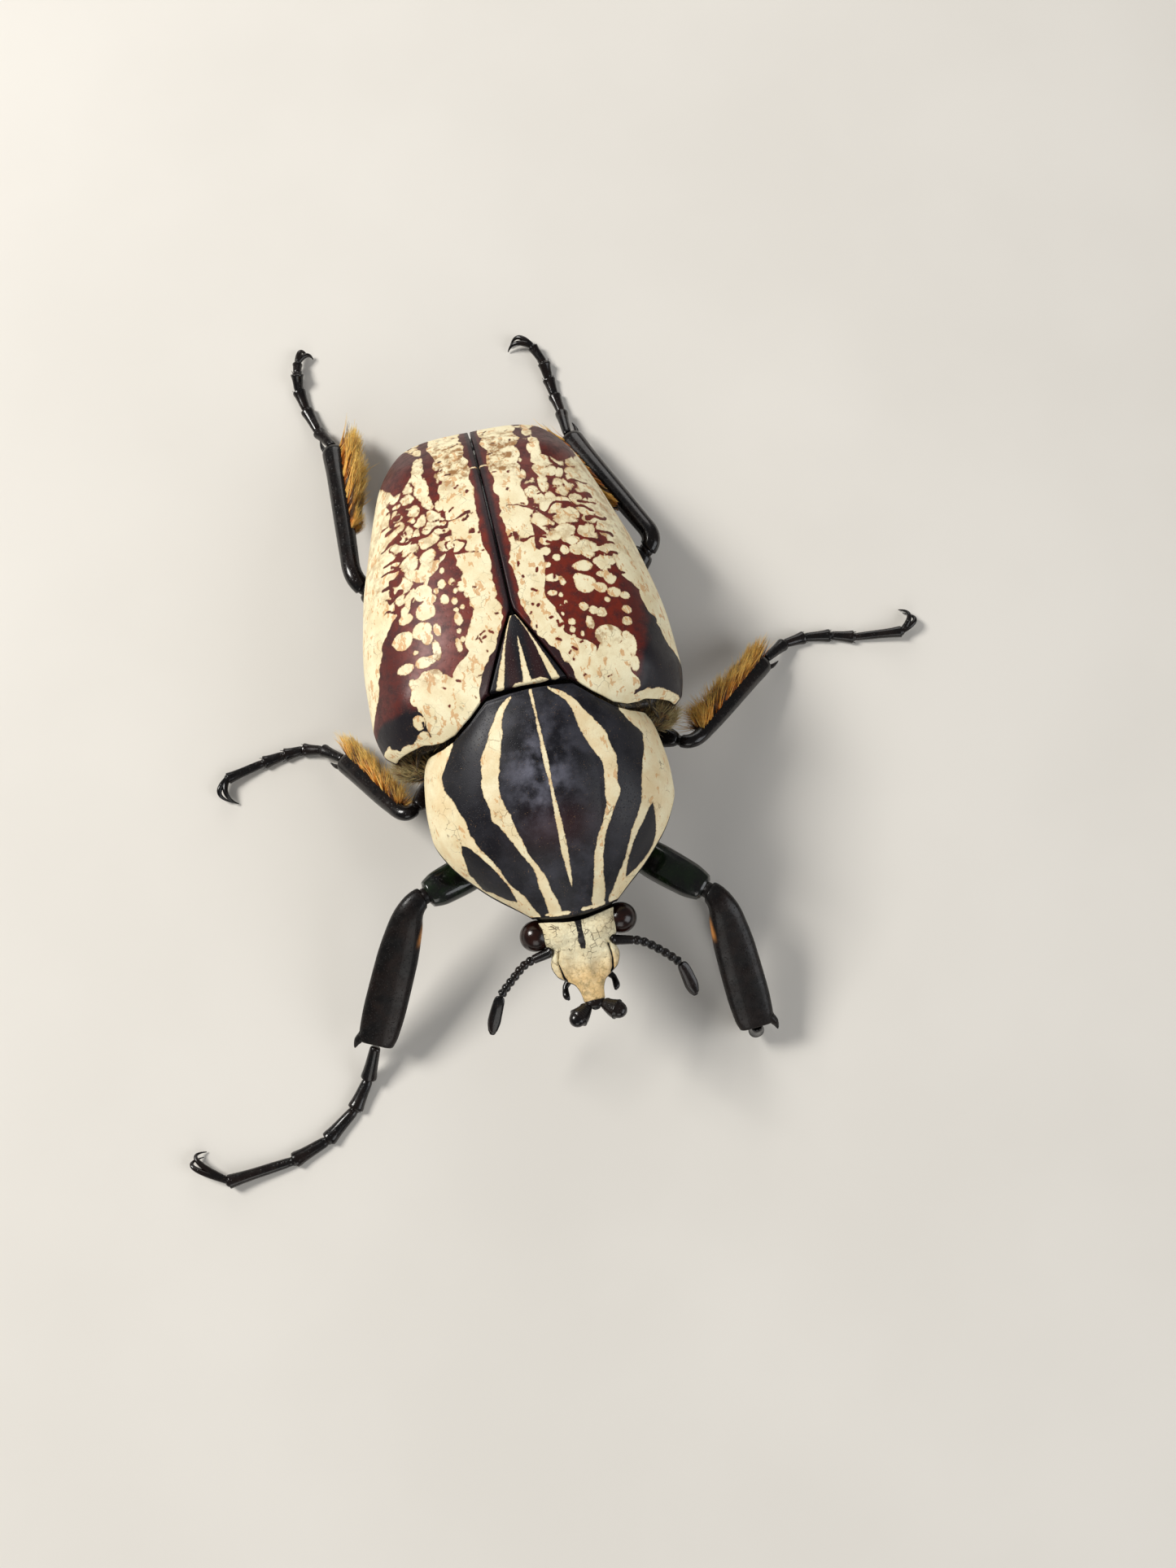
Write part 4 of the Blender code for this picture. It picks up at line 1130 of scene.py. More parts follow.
@dataclass
class Shell:
    """Both shell plates, with the pattern of cells, bands and patches."""

    half_width: Pairs = (
        (-4.6, 19.2), (-2.5, 21.4), (2, 22.3), (8, 22.2), (20, 20.4), (27.5, 18.3), (33, 16.6),
        (37.5, 15.0), (41.2, 12.9), (44.2, 10.4))
    crown: Pairs = (
        (-4.6, 24.6), (0, 25.9), (9, 26.9), (18, 26.6), (27, 25.0), (34, 22.3), (39, 19.4), (42, 16.8),
        (44.2, 14.4))
    margin: Pairs = ((-4.6, 13.4), (5, 12.0), (25, 11.6), (36, 11.9), (44.2, 11.5))
    roundness: float = 2.25
    shoulder: tuple[float, ...] = (17.2, 1.5, 2.6, 3.4, 0.7)
    tail: tuple[float, ...] = (9.6, 37.0, 2.7, 2.7, 1.1)
    start: float = -0.6
    start_outer: float = -4.3
    end: float = 43.9
    end_outer: float = 42.2
    end_bow: float = 0.9
    front_fade: float = 6.0
    front_play: float = 0.1
    front_drop: float = 1.9
    drop_fade: float = 18.0
    thickness: float = 1.3
    rim: float = 0.22
    rows: int = 341
    columns: int = 271
    stride: int = 5
    seeds: tuple[int, int] = (3, 41)
    shut: float = 4.0
    # Pattern: lines against the place along the body, from the suture outward
    suture_edge: Pairs = (
        (-4, 8.2), (-1.5, 6.9), (0, 6.4), (1.5, 5.8), (3, 4.8), (4.5, 3.8), (6, 2.8), (7.75, 2.0),
        (10.7, 1.5), (25, 1.6), (44, 1.4))
    band_outer: Pairs = (
        (-4, 11.5), (3.0, 10.0), (4.6, 7.8), (6, 6.6), (9, 6.0), (12, 4.9), (14, 5.6), (18, 5.9), (24, 5.6),
        (44, 6.0))
    side_inner: Pairs = (
        (-4, 23.5), (1, 22.2), (2, 21.5), (5, 20.1), (8, 19.1), (10, 18.4), (12.3, 17.3), (14, 15.9),
        (16, 15.7), (20, 15.4), (25, 14.4), (30, 13.9), (34, 14.0), (38, 14.6), (44, 13.0))
    # Separate pale cells on the maroon: out from the suture, along, half width, half length
    right_cells: tuple[Cell, ...] = (
        (15.3, 10.0, 1.45, 1.3), (12.4, 10.3, 1.5, 1.25), (11.9, 9.0, 0.8, 0.9), (10.3, 9.8, 0.5, 1.0),
        (15.6, 6.0, 1.25, 0.8), (13.1, 5.9, 1.05, 0.85), (11.0, 7.0, 0.65, 1.45), (12.0, 6.0, 0.8, 0.6),
        (13.8, 7.6, 0.4, 0.35), (15.1, 3.6, 0.5, 0.7), (15.0, 1.5, 0.95, 0.95), (12.4, 3.2, 1.6, 1.5),
        (7.5, 8.6, 0.37, 0.39), (7.9, 6.7, 0.5, 1.1), (7.1, 7.4, 0.38, 0.4), (7.2, 10.3, 0.55, 1.0),
        (7.2, 13.1, 0.49, 0.6), (6.3, 11.9, 0.36, 0.38), (7.2, 11.7, 0.42, 0.36), (8.5, 13.7, 0.6, 0.85),
        (8.4, 16.1, 0.64, 0.72), (7.0, 15.9, 0.5, 0.55), (5.9, 14.9, 0.6, 0.75), (6.8, 14.5, 0.36, 0.36),
        (8.1, 18.0, 0.4, 0.42), (10.9, 18.3, 1.3, 1.1), (10.3, 19.3, 0.8, 0.8), (11.2, 15.6, 1.3, 1.2),
        (10.4, 14.3, 0.9, 0.8), (11.4, 12.9, 1.4, 1.3), (13.4, 17.6, 0.95, 0.9), (14.0, 14.9, 0.8, 1.0),
        (14.3, 12.9, 1.0, 0.8), (9.4, 15.3, 0.35, 0.5), (15.3, -3.4, 0.95, 0.9), (15.4, -1.4, 0.8, 0.9))
    left_cells: tuple[Cell, ...] = (
        (9.7, 8.6, 0.7, 0.65), (10.9, 8.0, 0.6, 0.6), (11.9, 7.6, 0.75, 0.7), (13.2, 9.4, 0.48, 0.48),
        (15.6, 7.9, 0.65, 0.7), (10.1, 6.2, 0.62, 1.05), (15.2, 6.1, 0.75, 0.7), (12.2, 4.3, 1.9, 1.4),
        (15.0, 2.8, 0.75, 1.5), (6.8, 9.0, 0.3, 0.34), (6.7, 7.9, 0.28, 0.3), (7.6, 6.7, 0.56, 0.5),
        (7.5, 5.6, 0.36, 0.48), (7.5, 4.6, 0.26, 0.3), (7.0, 10.8, 0.32, 0.34), (14.4, 10.6, 1.0, 0.8),
        (15.8, 10.1, 0.7, 0.6), (12.7, 11.3, 0.95, 0.8), (10.7, 12.0, 1.6, 1.35), (9.9, 13.0, 0.8, 0.7),
        (10.9, 14.8, 1.45, 0.9), (13.6, 15.4, 1.1, 0.75), (14.3, 13.0, 0.95, 1.2), (13.2, 13.4, 0.7, 0.5),
        (6.5, 13.4, 1.2, 0.6), (14.9, 0.2, 0.68, 1.1), (7.6, 12.6, 0.38, 0.58), (7.5, 9.6, 0.27, 0.3),
        (8.9, 17.4, 0.7, 0.8), (10.6, 17.3, 1.0, 0.9), (12.8, 17.6, 1.1, 0.8), (7.6, 16.4, 0.5, 0.5),
        (14.6, 17.6, 0.6, 0.7), (8.6, 4.9, 0.3, 0.4), (6.3, 17.6, 0.8, 0.65), (6.7, 19.3, 0.85, 0.8),
        (8.1, 19.8, 0.9, 0.8), (6.1, 15.4, 0.6, 0.5), (9.6, 19.3, 0.8, 0.7), (5.9, 11.2, 0.7, 0.45))

    def point(self, angle: Array, y: Array) -> Array:
        """Points of the outer surface at an angle from the crown to the margin.

        Args:
            angle: angle round the section, 0 at the crown.
            y: places along the body, in millimetres.

        Returns:
            The points.
        """
        low = smooth_line(self.margin, y)
        up, out = superellipse(angle, self.roundness)
        x = smooth_line(self.half_width, y) * out
        z = low + (smooth_line(self.crown, y) - low) * up
        for cx, cy, rx, ry, height in (self.shoulder, self.tail):
            z = z + height * np.exp(-((x - cx) / rx) ** 2 - ((y - cy) / ry) ** 2)
        return np.stack([x, y, z], -1)

    def angle(self, x: Array, y: Array) -> Array:
        """The angle of the section at which the shell is x from the middle."""
        share = np.minimum(1.0, x / smooth_line(self.half_width, y))
        return np.arcsin(share ** (self.roundness / 2))

    def front(self, angle: Array, shield: "Shield") -> Array:
        """The front edge along the shield.

        Args:
            angle: angles round the section, 0 at the crown.
            shield: the shield.

        Returns:
            Place of the edge at each angle.
        """
        y = np.full_like(angle, shield.rear[-1][1])
        for _ in range(5):
            share = np.minimum(1.0, self.point(angle, y)[..., 0] / shield.half_width[-1][1])
            y = shield.rear_edge(share) + GAP + self.front_play
        return y

    def surface(self, shield: "Shield", small: "SmallShield") -> tuple[Array, Array, Array]:
        """The left plate's outer face, with each point's distance from the front and from the side.

        Args:
            shield: the shield.
            small: the scutellum.

        Returns:
            The points, and both distances.
        """
        v = clustered(self.rows, 0.45)[:, None]
        s = clustered(self.columns, 0.6)[None, :]
        inner_y = self.start + (self.end - self.start) * v
        outer_y = self.start_outer + (self.end_outer - self.start_outer) * v
        seam = small.seam - (small.seam - GAP / 2) * smooth_step(inner_y, small.tip - 1, small.tip + 1.5)
        inner_x = np.maximum(GAP / 2, small.side(inner_y) + seam)
        begin = self.angle(inner_x, inner_y)
        angle = begin + (math.pi / 2 - begin) * s
        y = inner_y + (outer_y - inner_y) * s + self.end_bow * v ** 4 * np.sin(math.pi * s)
        first = self.start + (self.start_outer - self.start) * s
        y = y + (self.front(angle, shield) - first) * (1 - v) ** self.front_fade
        points = self.point(angle, y)
        points[..., 2] -= self.front_drop * np.sin(math.pi * s) * (1 - v) ** self.drop_fade
        points[:, 0, 0] = inner_x[:, 0]
        across = run_length(points, 1)
        return points, run_length(points, 0), across[:, -1:] - across

    def pattern(self, x: Array, y: Array, from_front: Array, from_side: Array, seed: int) -> dict[str, Array]:
        """Signed distance into the pale parts, and how near-black and how stained each point is.

        Args:
            x: places across, in millimetres.
            y: places along the body, in millimetres.
            from_front: distance from the front edge.
            from_side: distance from the outer edge.
            seed: number that fixes what is random.

        Returns:
            The three values by name: pale, night and stain.
        """
        bend = 0.42 * soft_noise(x, y, 1.7, seed) + 0.22 * soft_noise(x, y, 0.7, seed + 1)
        bend_too = 0.42 * soft_noise(x, y, 1.7, seed + 2) + 0.22 * soft_noise(x, y, 0.7, seed + 3)
        px, py = x + bend, y + bend_too
        lumps = 1.1 * soft_noise(x, y, 2.4, seed + 6) + 0.6 * soft_noise(x, y, 1.1, seed + 7)
        inner = px - smooth_line(self.suture_edge, y)
        lip = 1.7 + 0.7 * lumps + 0.5 * soft_noise(x, y, 0.7, seed + 8) - from_front
        pale = np.maximum.reduce([
            self.net(x, y, px, py, lumps, seed),
            self.placed_cells(x + 0.3 * bend, y + 0.3 * bend_too, seed),
            np.minimum(inner, smooth_line(self.band_outer, y) + 0.5 * soft_noise(x, y, 3.2, seed + 4) - px),
            self.front_patch(y, px, py, lumps),
            px - smooth_line(self.side_inner, y),
            np.minimum(lip, 21.9 - x)])
        callus = np.hypot((px - 11.6) / 2.9, (py - 39.0) / 5.3) - 1
        pale = np.minimum(pale, callus * 2.6)
        finger = 0.75 - np.abs(px - 8.6) + np.minimum(0, (38.2 - y)) * 0.8 + np.minimum(0, y - 31) * 0.5
        dark = np.minimum(self.dashes(x, y, seed), self.specks(x, y, seed))
        pale = np.minimum.reduce([np.maximum(pale, finger), inner, dark])
        lip_line = np.abs(y - 33.9 - 0.25 * np.sin(x * 2)) - 0.16
        pale = np.where((x < 2.4) & (y > 30), np.maximum(pale, -lip_line), pale)
        lines = np.abs(soft_noise(px * 0.8, py * 1.25, 2.2, seed + 30)) * 2.2 - 0.20
        crossing = smooth_step(y, 16, 20) * smooth_step(-y, -30, -26) * smooth_step(x, 1.8, 2.6) * (x < 7)
        pale = np.minimum.reduce([pale, lines + 3 * (1 - crossing), from_side - 0.8])
        return {"pale": pale, "night": self.night(x, y, bend, seed), "stain": self.stain(x, y)}

    def net(self, x: Array, y: Array, px: Array, py: Array, lumps: Array, seed: int) -> Array:
        """The net of irregular cells on the rear half, smaller towards the tail.

        Args:
            x: places across, in millimetres.
            y: places along the body, in millimetres.
            px: places across, bent.
            py: places along, bent.
            lumps: soft lumps, to ragged ends.
            seed: number that fixes what is random.

        Returns:
            Signed distance into the cells.
        """
        wall = -0.13 + 0.11 * soft_noise(x, y, 2.6, seed + 5) + 0.06 * soft_noise(x, y, 1.0, seed + 9)
        stripe = smooth_step(y, 28.5, 31) * np.exp(-((x - 6.9) / 0.7) ** 4)
        wall = wall + 0.5 * stripe + 0.05 * smooth_step(y, 25, 29)
        net = cell_border(px * 0.9, py * 1.08, 2.35, seed + 10, jitter=0.95, softness=0.17) - wall
        rear = cell_border(px, py * 0.8, 1.75, seed + 20, jitter=0.85, softness=0.19) - wall + 0.05
        far = smooth_step(y + 0.9 * lumps, 24.6, 25.2)
        net = np.maximum(net - self.shut * far, rear - self.shut * (1 - far))
        net = net - self.shut * (1 - smooth_step(y + 0.9 * (x - 11) + 0.6 * lumps, 16.0, 16.8))
        return net - self.shut * smooth_step(x, 14.6, 15.4) * smooth_step(-y, -15.5, -12)

    def placed_cells(self, x: Array, y: Array, seed: int) -> Array:
        """The separate cells on the front half, each an ellipse.

        Args:
            x: places across, in millimetres.
            y: places along the body, in millimetres.
            seed: number that fixes what is random.

        Returns:
            Signed distance into the cells.
        """
        inside = np.full_like(x, -9.0)
        for cx, cy, rx, ry in (self.left_cells if seed == self.seeds[0] else self.right_cells):
            inside = np.maximum(inside, (1 - np.hypot((x - cx) / rx, (y - cy) / ry)) * min(rx, ry))
        return inside

    def front_patch(self, y: Array, px: Array, py: Array, lumps: Array) -> Array:
        """The patch behind the shield, with the dark spur that runs into it.

        Args:
            y: places along the body, in millimetres.
            px: places across, bent.
            py: places along, bent.
            lumps: soft lumps, to ragged edges.

        Returns:
            Signed distance into the patch.
        """
        patch = np.minimum.reduce([3.4 + 0.9 * lumps - py, 14.4 + lumps - px, px - 6.0])
        spur = 0.75 - np.abs(px - 9.3 - 0.12 * (y - 3)) - np.clip(3.4 - y, 0, 9) * 0.35
        return np.minimum(patch, -spur)

    def night(self, x: Array, y: Array, bend: Array, seed: int) -> Array:
        """How far the maroon darkens to near-black: at the shoulder, the seam, the scutellum and the rear;
        along the seam it is partly the shell's dark border and partly painted shade between the plates.

        Args:
            x: places across, in millimetres.
            y: places along the body, in millimetres.
            bend: how far the places are bent.
            seed: number that fixes what is random.

        Returns:
            Values from 0 to 1.
        """
        if seed == self.seeds[1]:
            shoulder = smooth_step(0.6 - y + 0.8 * bend, -0.8, 0.8) * smooth_step(x, 12, 13)
        else:
            shoulder = smooth_step(x - 0.35 * y + 1.2 * bend, 14.6, 16.6)
        # Partly painted shade: near-black along the seam between the plates, over the shell's own dark
        # border.
        seam = smooth_step(1.05 - x, -0.3, 0.5) * 0.9
        beside = smooth_step(9.5 - y, 0, 3) * (x < smooth_line(self.suture_edge, y) + 0.5) * 0.85
        outside = smooth_step(x, 14.5, 17) * 0.45
        rear = smooth_step(y, 30, 40) * 0.55
        return np.clip(np.maximum.reduce([shoulder, seam, beside, outside, rear]), 0, 1)

    def stain(self, x: Array, y: Array) -> Array:
        """How far the pale parts are stained brown, with two strong spots at the rear.

        Args:
            x: places across, in millimetres.
            y: places along the body, in millimetres.

        Returns:
            Values from 0, where more than 1 is fully stained.
        """
        rear = smooth_step(y, 29, 35) * smooth_step(-x, -7.5, -5.5) * smooth_step(-y, -43, -40)
        front = 0.9 * np.exp(-((x - 11.5) / 3) ** 2 - ((y - 5.5) / 2.4) ** 2)
        outside = 0.35 * smooth_step(x, 6, 8) * smooth_step(y, 14, 20)
        spot = np.exp(-((x - 3.3) / 0.9) ** 2 - ((y - 32.5) / 1.1) ** 2)
        spot = np.maximum(spot, 0.8 * np.exp(-((x - 4.8) / 0.6) ** 2 - ((y - 35.5) / 1.0) ** 2))
        return np.maximum(1.3 * np.maximum.reduce([rear, front, outside]), 2.4 * spot)

    def dashes(self, x: Array, y: Array, seed: int) -> Array:
        """Distance outside the dark dashes that run into the pale side band.

        Args:
            x: places across, in millimetres.
            y: places along the body, in millimetres.
            seed: number that fixes what is random.

        Returns:
            Distance outside the nearest dash.
        """
        draw = np.random.default_rng(seed)
        least = np.full_like(x, 9.0)
        for number in range(8):
            place = 14.4 + 2.1 * number + draw.uniform(-0.6, 0.6)
            reach = draw.uniform(0.4, 1.5)
            inner = float(smooth_line(self.side_inner, np.array(place)))
            t = np.clip((x - (inner - 1.5)) / (reach + 1.5), 0, 1)
            line = place + draw.uniform(-0.4, 0.4) * (x - inner) * 0.5
            line = line + 0.6 * soft_noise(x, y, 1.2, seed + number)
            tall = 0.44 * (1 - 0.4 * t) * (0.75 + 0.6 * soft_noise(x, y, 0.9, seed + 60 + number))
            beyond = np.maximum(np.abs(x - inner - reach / 2 + 0.75) - (reach + 1.5) / 2, 0)
            least = np.minimum(least, np.hypot(np.abs(y - line), beyond) - tall)
        return least

    def specks(self, x: Array, y: Array, seed: int) -> Array:
        """Distance outside small dark ticks scattered on the pale inner band and over the cells.

        Args:
            x: places across, in millimetres.
            y: places along the body, in millimetres.
            seed: number that fixes what is random.

        Returns:
            Distance outside the nearest tick.
        """
        draw = np.random.default_rng(seed + 100)
        least = np.full_like(x, 9.0)
        for number in range(48):
            cy = draw.uniform(-2, 43)
            inner = float(smooth_line(self.suture_edge, np.array(cy)))
            cx = inner + 0.4 + draw.uniform(0, 1) ** 1.3 * (5.4 if number % 3 else 12.0)
            turn = draw.uniform(-0.9, 1.8)
            half = draw.uniform(0.03, 0.36)
            dx, dy = x - cx, y - cy
            along = np.clip(dx * math.cos(turn) + dy * math.sin(turn), -half, half)
            away = np.hypot(dx - along * math.cos(turn), dy - along * math.sin(turn))
            away = away - draw.uniform(0.06, 0.19) - 0.06 * soft_noise(x, y, 0.5, seed + number)
            least = np.minimum(least, away)
        return least

    def build(self, shield: "Shield", small: "SmallShield") -> list[Piece]:
        """Both plates, dressed.

        Args:
            shield: the shield.
            small: the scutellum.

        Returns:
            The finished pieces.
        """
        points, from_front, from_side = self.surface(shield, small)
        finish = ShellFinish().material()
        outer = rolled_rim(points, self.rim)
        under = (points - grid_normals(points) * self.thickness)[::self.stride, ::self.stride]
        made = []
        for side, sign, seed in zip(("left", "right"), (1, -1), self.seeds):
            marks = self.pattern(points[..., 0], points[..., 1], from_front, from_side, seed)
            every = np.concatenate([outer.reshape(-1, 3), under.reshape(-1, 3)]) * (sign, 1, 1)
            mesh = trunk_mesh(f"shell_plate_{side}", every, plate_faces(self.rows, self.columns, self.stride))
            mark_plate(mesh, marks, {"pale": -1.0, "night": 0.8, "stain": 0.0})
            made.append(make_piece(f"shell_plate_{side}", mesh, finish, (f"elytron_{side}",)))
        return made


@dataclass
class SmallShield:
    """Scutellum, the triangle between the shell plates."""

    half_width: float = 5.3
    base: float = -0.6
    tip: float = 10.0
    seam: float = 0.42
    blunt: float = 0.9
    proud: float = 0.1
    taper: float = 0.96
    thickness: float = 1.3
    rows: int = 121
    columns: int = 101
    stripe: Pairs = ((-0.6, 3.8), (1, 3.3), (3, 2.65), (5, 2.0), (8, 0.85), (9.2, 0.35))
    stripe_half: Pairs = ((-0.6, 0.55), (1, 0.48), (3, 0.3), (5, 0.14), (8, 0.13), (9.2, 0.3))
    middle_half: Pairs = ((-0.6, 0.62), (1, 0.45), (3, 0.3), (5.4, 0.12), (6.3, -0.1), (9.2, -0.8))

    def side(self, y: Array) -> Array:
        """Half-width at y."""
        return np.maximum(0.0, self.half_width * (self.tip - y) / (self.tip - self.base))

    def build(self, shell: Shell) -> Piece:
        """The plate, dressed.

        Args:
            shell: the shell plates.

        Returns:
            The finished piece.
        """
        y = (self.base + (self.tip - self.blunt - self.base) * clustered(self.rows, 0.3))[:, None]
        y = np.repeat(y, self.columns, 1)
        share = (-1 + 2 * clustered(self.columns, 0.3))[None, :]
        half = self.side(y)
        height = shell.point(shell.angle(np.abs(share) * half, y), y)[..., 2]
        top = np.stack([share * half, y, height + self.proud + 0.12 * (1 - share ** 2)], -1)
        bottom = np.stack([share * half * self.taper, y, height - self.thickness], -1)
        points, faces = slab(rolled_rim(top, 0.3), bottom)
        mesh = trunk_mesh("small_shield", points, faces)
        x = np.abs(top[..., 0])
        stripe = smooth_line(self.stripe_half, y) - np.abs(x - smooth_line(self.stripe, y))
        middle = smooth_line(self.middle_half, y) - x
        crust = 0.5 + 0.4 * soft_noise(top[..., 0], y, 1.2, 9) - (y - self.base)
        crust = crust - 0.6 * np.maximum(0, x - 1.8)
        pale = np.maximum.reduce([stripe, middle, crust])
        warm = 0.5 * smooth_step(x, 0.4, 1.6) * smooth_step(-x, -3.2, -2)
        mark_plate(mesh, {"pale": pale, "warm": warm, "glow": 0 * warm},
                   {"pale": -1.0, "warm": 0.0, "glow": 0.0})
        finish = ShieldFinish("small_shield_chalk", warm=0.15).material()
        return make_piece("small_shield", mesh, finish, ("scutellum",))


@dataclass
class Shield:
    """Pronotum, with its five stripes and the drop in each side band."""

    front: float = -30.3
    front_side: float = -28.9
    rear: Pairs = ((0, -1.0), (0.38, -1.15), (0.53, -3.0), (0.68, -4.6), (0.85, -5.0), (1, -4.4))
    half_width: Pairs = (
        (0, 5.9), (0.06, 7.6), (0.2, 11.6), (0.4, 15.7), (0.55, 17.2), (0.66, 17.3), (0.85, 16.8),
        (0.95, 16.2), (1, 15.5))
    crown: Pairs = ((0, 13.4), (0.15, 17.2), (0.4, 21.8), (0.7, 25.0), (0.9, 25.8), (1, 25.4))
    margin: Pairs = ((0, 10.4), (0.3, 11.4), (0.6, 12.2), (0.85, 13.4), (1, 14.0))
    roundness: tuple[float, float] = (2.1, 0.62)
    rim: float = 0.7
    edge_columns: int = 16
    rows: int = 241
    columns: int = 281
    stride: int = 4
    middle: Pairs = (
        (-27.5, -0.05), (-26, 0.22), (-24, 0.36), (-22, 0.46), (-19, 0.42), (-15, 0.25), (-11, 0.3),
        (-8, 0.26), (-5, 0.13), (-2.5, 0.2), (-1.4, 0.2), (-0.9, -0.1))
    left: Pairs = (
        (-29, 3.2), (-26, 4.0), (-24, 4.45), (-22, 5.2), (-20, 6.3), (-18, 7.4), (-16.2, 8.1), (-15, 8.2),
        (-13, 8.5), (-11, 8.0), (-9, 7.4), (-7, 6.6), (-5.5, 5.9), (-4, 5.1), (-2.8, 4.2), (-1.5, 2.5))
    left_half: Pairs = (
        (-29, 0.85), (-26, 0.6), (-24, 0.5), (-22, 0.45), (-20, 0.5), (-18, 0.6), (-16.2, 1.0), (-15, 0.72),
        (-13, 0.85), (-11, 1.1), (-8, 1.4), (-7, 1.2), (-5.5, 0.75), (-4, 0.6), (-2.2, 0.5), (-1.5, 0.0))
    right: Pairs = (
        (-29, 2.9), (-26, 3.5), (-24, 3.95), (-22, 5.0), (-20, 5.9), (-18, 6.7), (-16.7, 7.3), (-15.5, 7.5),
        (-13.5, 7.9), (-11, 7.4), (-9, 6.9), (-7, 6.0), (-5, 5.2), (-3.5, 4.4), (-2, 3.0), (-1.4, 2.3))
    right_half: Pairs = (
        (-29, 0.8), (-26, 0.65), (-24, 0.5), (-22, 0.4), (-20, 0.55), (-18, 0.75), (-16.7, 1.15),
        (-15.5, 0.9), (-13.5, 1.0), (-11, 1.1), (-9, 1.3), (-7, 0.9), (-5, 0.65), (-3.5, 0.6), (-2, 0.45),
        (-1.4, 0.0))
    side_edge: Pairs = (
        (-29, 4.7), (-27, 6.15), (-25, 7.6), (-23, 8.8), (-21, 9.9), (-19, 11.2), (-17, 11.9), (-15, 12.3),
        (-13, 13.0), (-11, 13.8), (-9, 14.0), (-7.7, 13.0), (-6.5, 12.2), (-5.4, 11.4))
    drop_inner: Pairs = ((-26.6, 7.6), (-24, 8.75), (-22, 10.0), (-20.5, 11.2), (-19, 12.4), (-18.2, 13.3))
    drop_outer: Pairs = (
        (-26.6, 7.6), (-25.6, 9.3), (-24.5, 10.7), (-22.8, 12.3), (-21, 13.2), (-19.5, 13.4), (-18.2, 13.3))

    def rear_edge(self, u: Array) -> Array:
        """The rear edge at u across, on straight pieces.

        Args:
            u: places across, 1 at the corner.

        Returns:
            Place of the edge along the body.
        """
        count = self.edge_columns
        places = np.sin(math.pi * np.arange(count // 2 + 1) / count)
        return np.interp(np.abs(u), places, smooth_line(self.rear, places))

    def surface(self) -> tuple[Array, Array]:
        """The upper face and the level that its margin lies at.

        Returns:
            The grid of points and the level of each point's margin.
        """
        v = clustered(self.rows, 0.5)[:, None]
        u = np.sin(math.pi / 2 * (-1 + 2 * np.linspace(0, 1, self.columns)))[None, :]
        front = self.front + (self.front_side - self.front) * u * u
        y = front + (self.rear_edge(u) - front) * v
        margin = smooth_line(self.margin, v)
        rise = smooth_line(self.crown, v) - margin
        z = margin + rise * (1 - np.abs(u) ** self.roundness[0]) ** self.roundness[1]
        x = smooth_line(self.half_width, v) * u
        return np.stack([x, y, z], -1), np.repeat(margin, self.columns, 1)

    def pattern(self, x: Array, y: Array, edge: Array) -> dict[str, Array]:
        """Signed distance into the pale stripes, and where the black gets a painted highlight or a red tinge.

        Args:
            x: places across, in millimetres.
            y: places along the body, in millimetres.
            edge: distance from the border.

        Returns:
            The three values by name: pale, glow and warm.
        """
        s = np.abs(x)
        wavy = 0.16 * soft_noise(x, y, 2.0, 5) + 0.08 * soft_noise(x, y, 0.8, 6)
        middle = smooth_line(self.middle, y) - np.abs(x - 0.12)
        left = smooth_line(self.left_half, y) - 0.9 * np.abs(x - smooth_line(self.left, y))
        right = smooth_line(self.right_half, y) - 0.9 * np.abs(x + smooth_line(self.right, y))
        side = 0.85 * (s - smooth_line(self.side_edge, y))
        side = np.minimum(side, -5.0 - y + 0.3 * (s - 11))
        drop = np.minimum(s - smooth_line(self.drop_inner, y), smooth_line(self.drop_outer, y) - s)
        drop = np.minimum(drop, np.minimum(y + 26.6, -18.2 - y) * 0.6)
        side = np.minimum(side, -drop)
        lip = 0.3 - np.abs(edge - 0.75) - np.maximum(0, s - 4.0) - np.maximum(0, 1.0 - s)
        lip = np.where(y < -26, lip, -1)
        pale = np.maximum.reduce([middle + 0.3 * wavy, left + wavy, right + wavy, side + wavy,
                                  lip + 0.4 * wavy])
        pale = np.minimum(pale, (edge - 0.30) * 1.5)
        # Painted highlight: a broad patch left of the middle and a faint band along the middle, where the
        # black is painted paler.
        glow = np.exp(-((x + 1.2) / 3.6) ** 2 - ((y + 13.0) / 5.2) ** 2) + 0.25 * np.exp(-(x / 9) ** 2)
        warm = 0.55 * np.exp(-((x) / 5) ** 2 - ((y + 19.5) / 2.6) ** 2)
        return {"pale": pale, "glow": glow, "warm": warm}

    def build(self) -> Piece:
        """The shield, dressed.

        Returns:
            The finished piece.
        """
        top, margin = self.surface()
        edge = edge_distance(top)
        top = top + np.stack([0 * edge, 0 * edge, 0.16 * np.exp(-((edge - 0.35) / 0.3) ** 2)], -1)
        outer = rolled_rim(top, 0.35)
        thin = smooth_step(-top[..., 1], 25.5, 28.5)
        floor = margin - self.rim * (1 - thin) + thin * (top[..., 2] - margin - 0.3)
        low = np.stack([top[..., 0], top[..., 1], floor], -1)[::self.stride, ::self.stride]
        points = np.concatenate([outer.reshape(-1, 3), low.reshape(-1, 3)])
        mesh = trunk_mesh("shield", points, plate_faces(self.rows, self.columns, self.stride))
        marks = self.pattern(top[..., 0], top[..., 1], edge)
        mark_plate(mesh, marks, {"pale": -1.0, "glow": 0.0, "warm": 0.0})
        finish = ShieldFinish("striped_shield").material()
        return make_piece("shield", mesh, finish, ("pronotum",))


# Underside

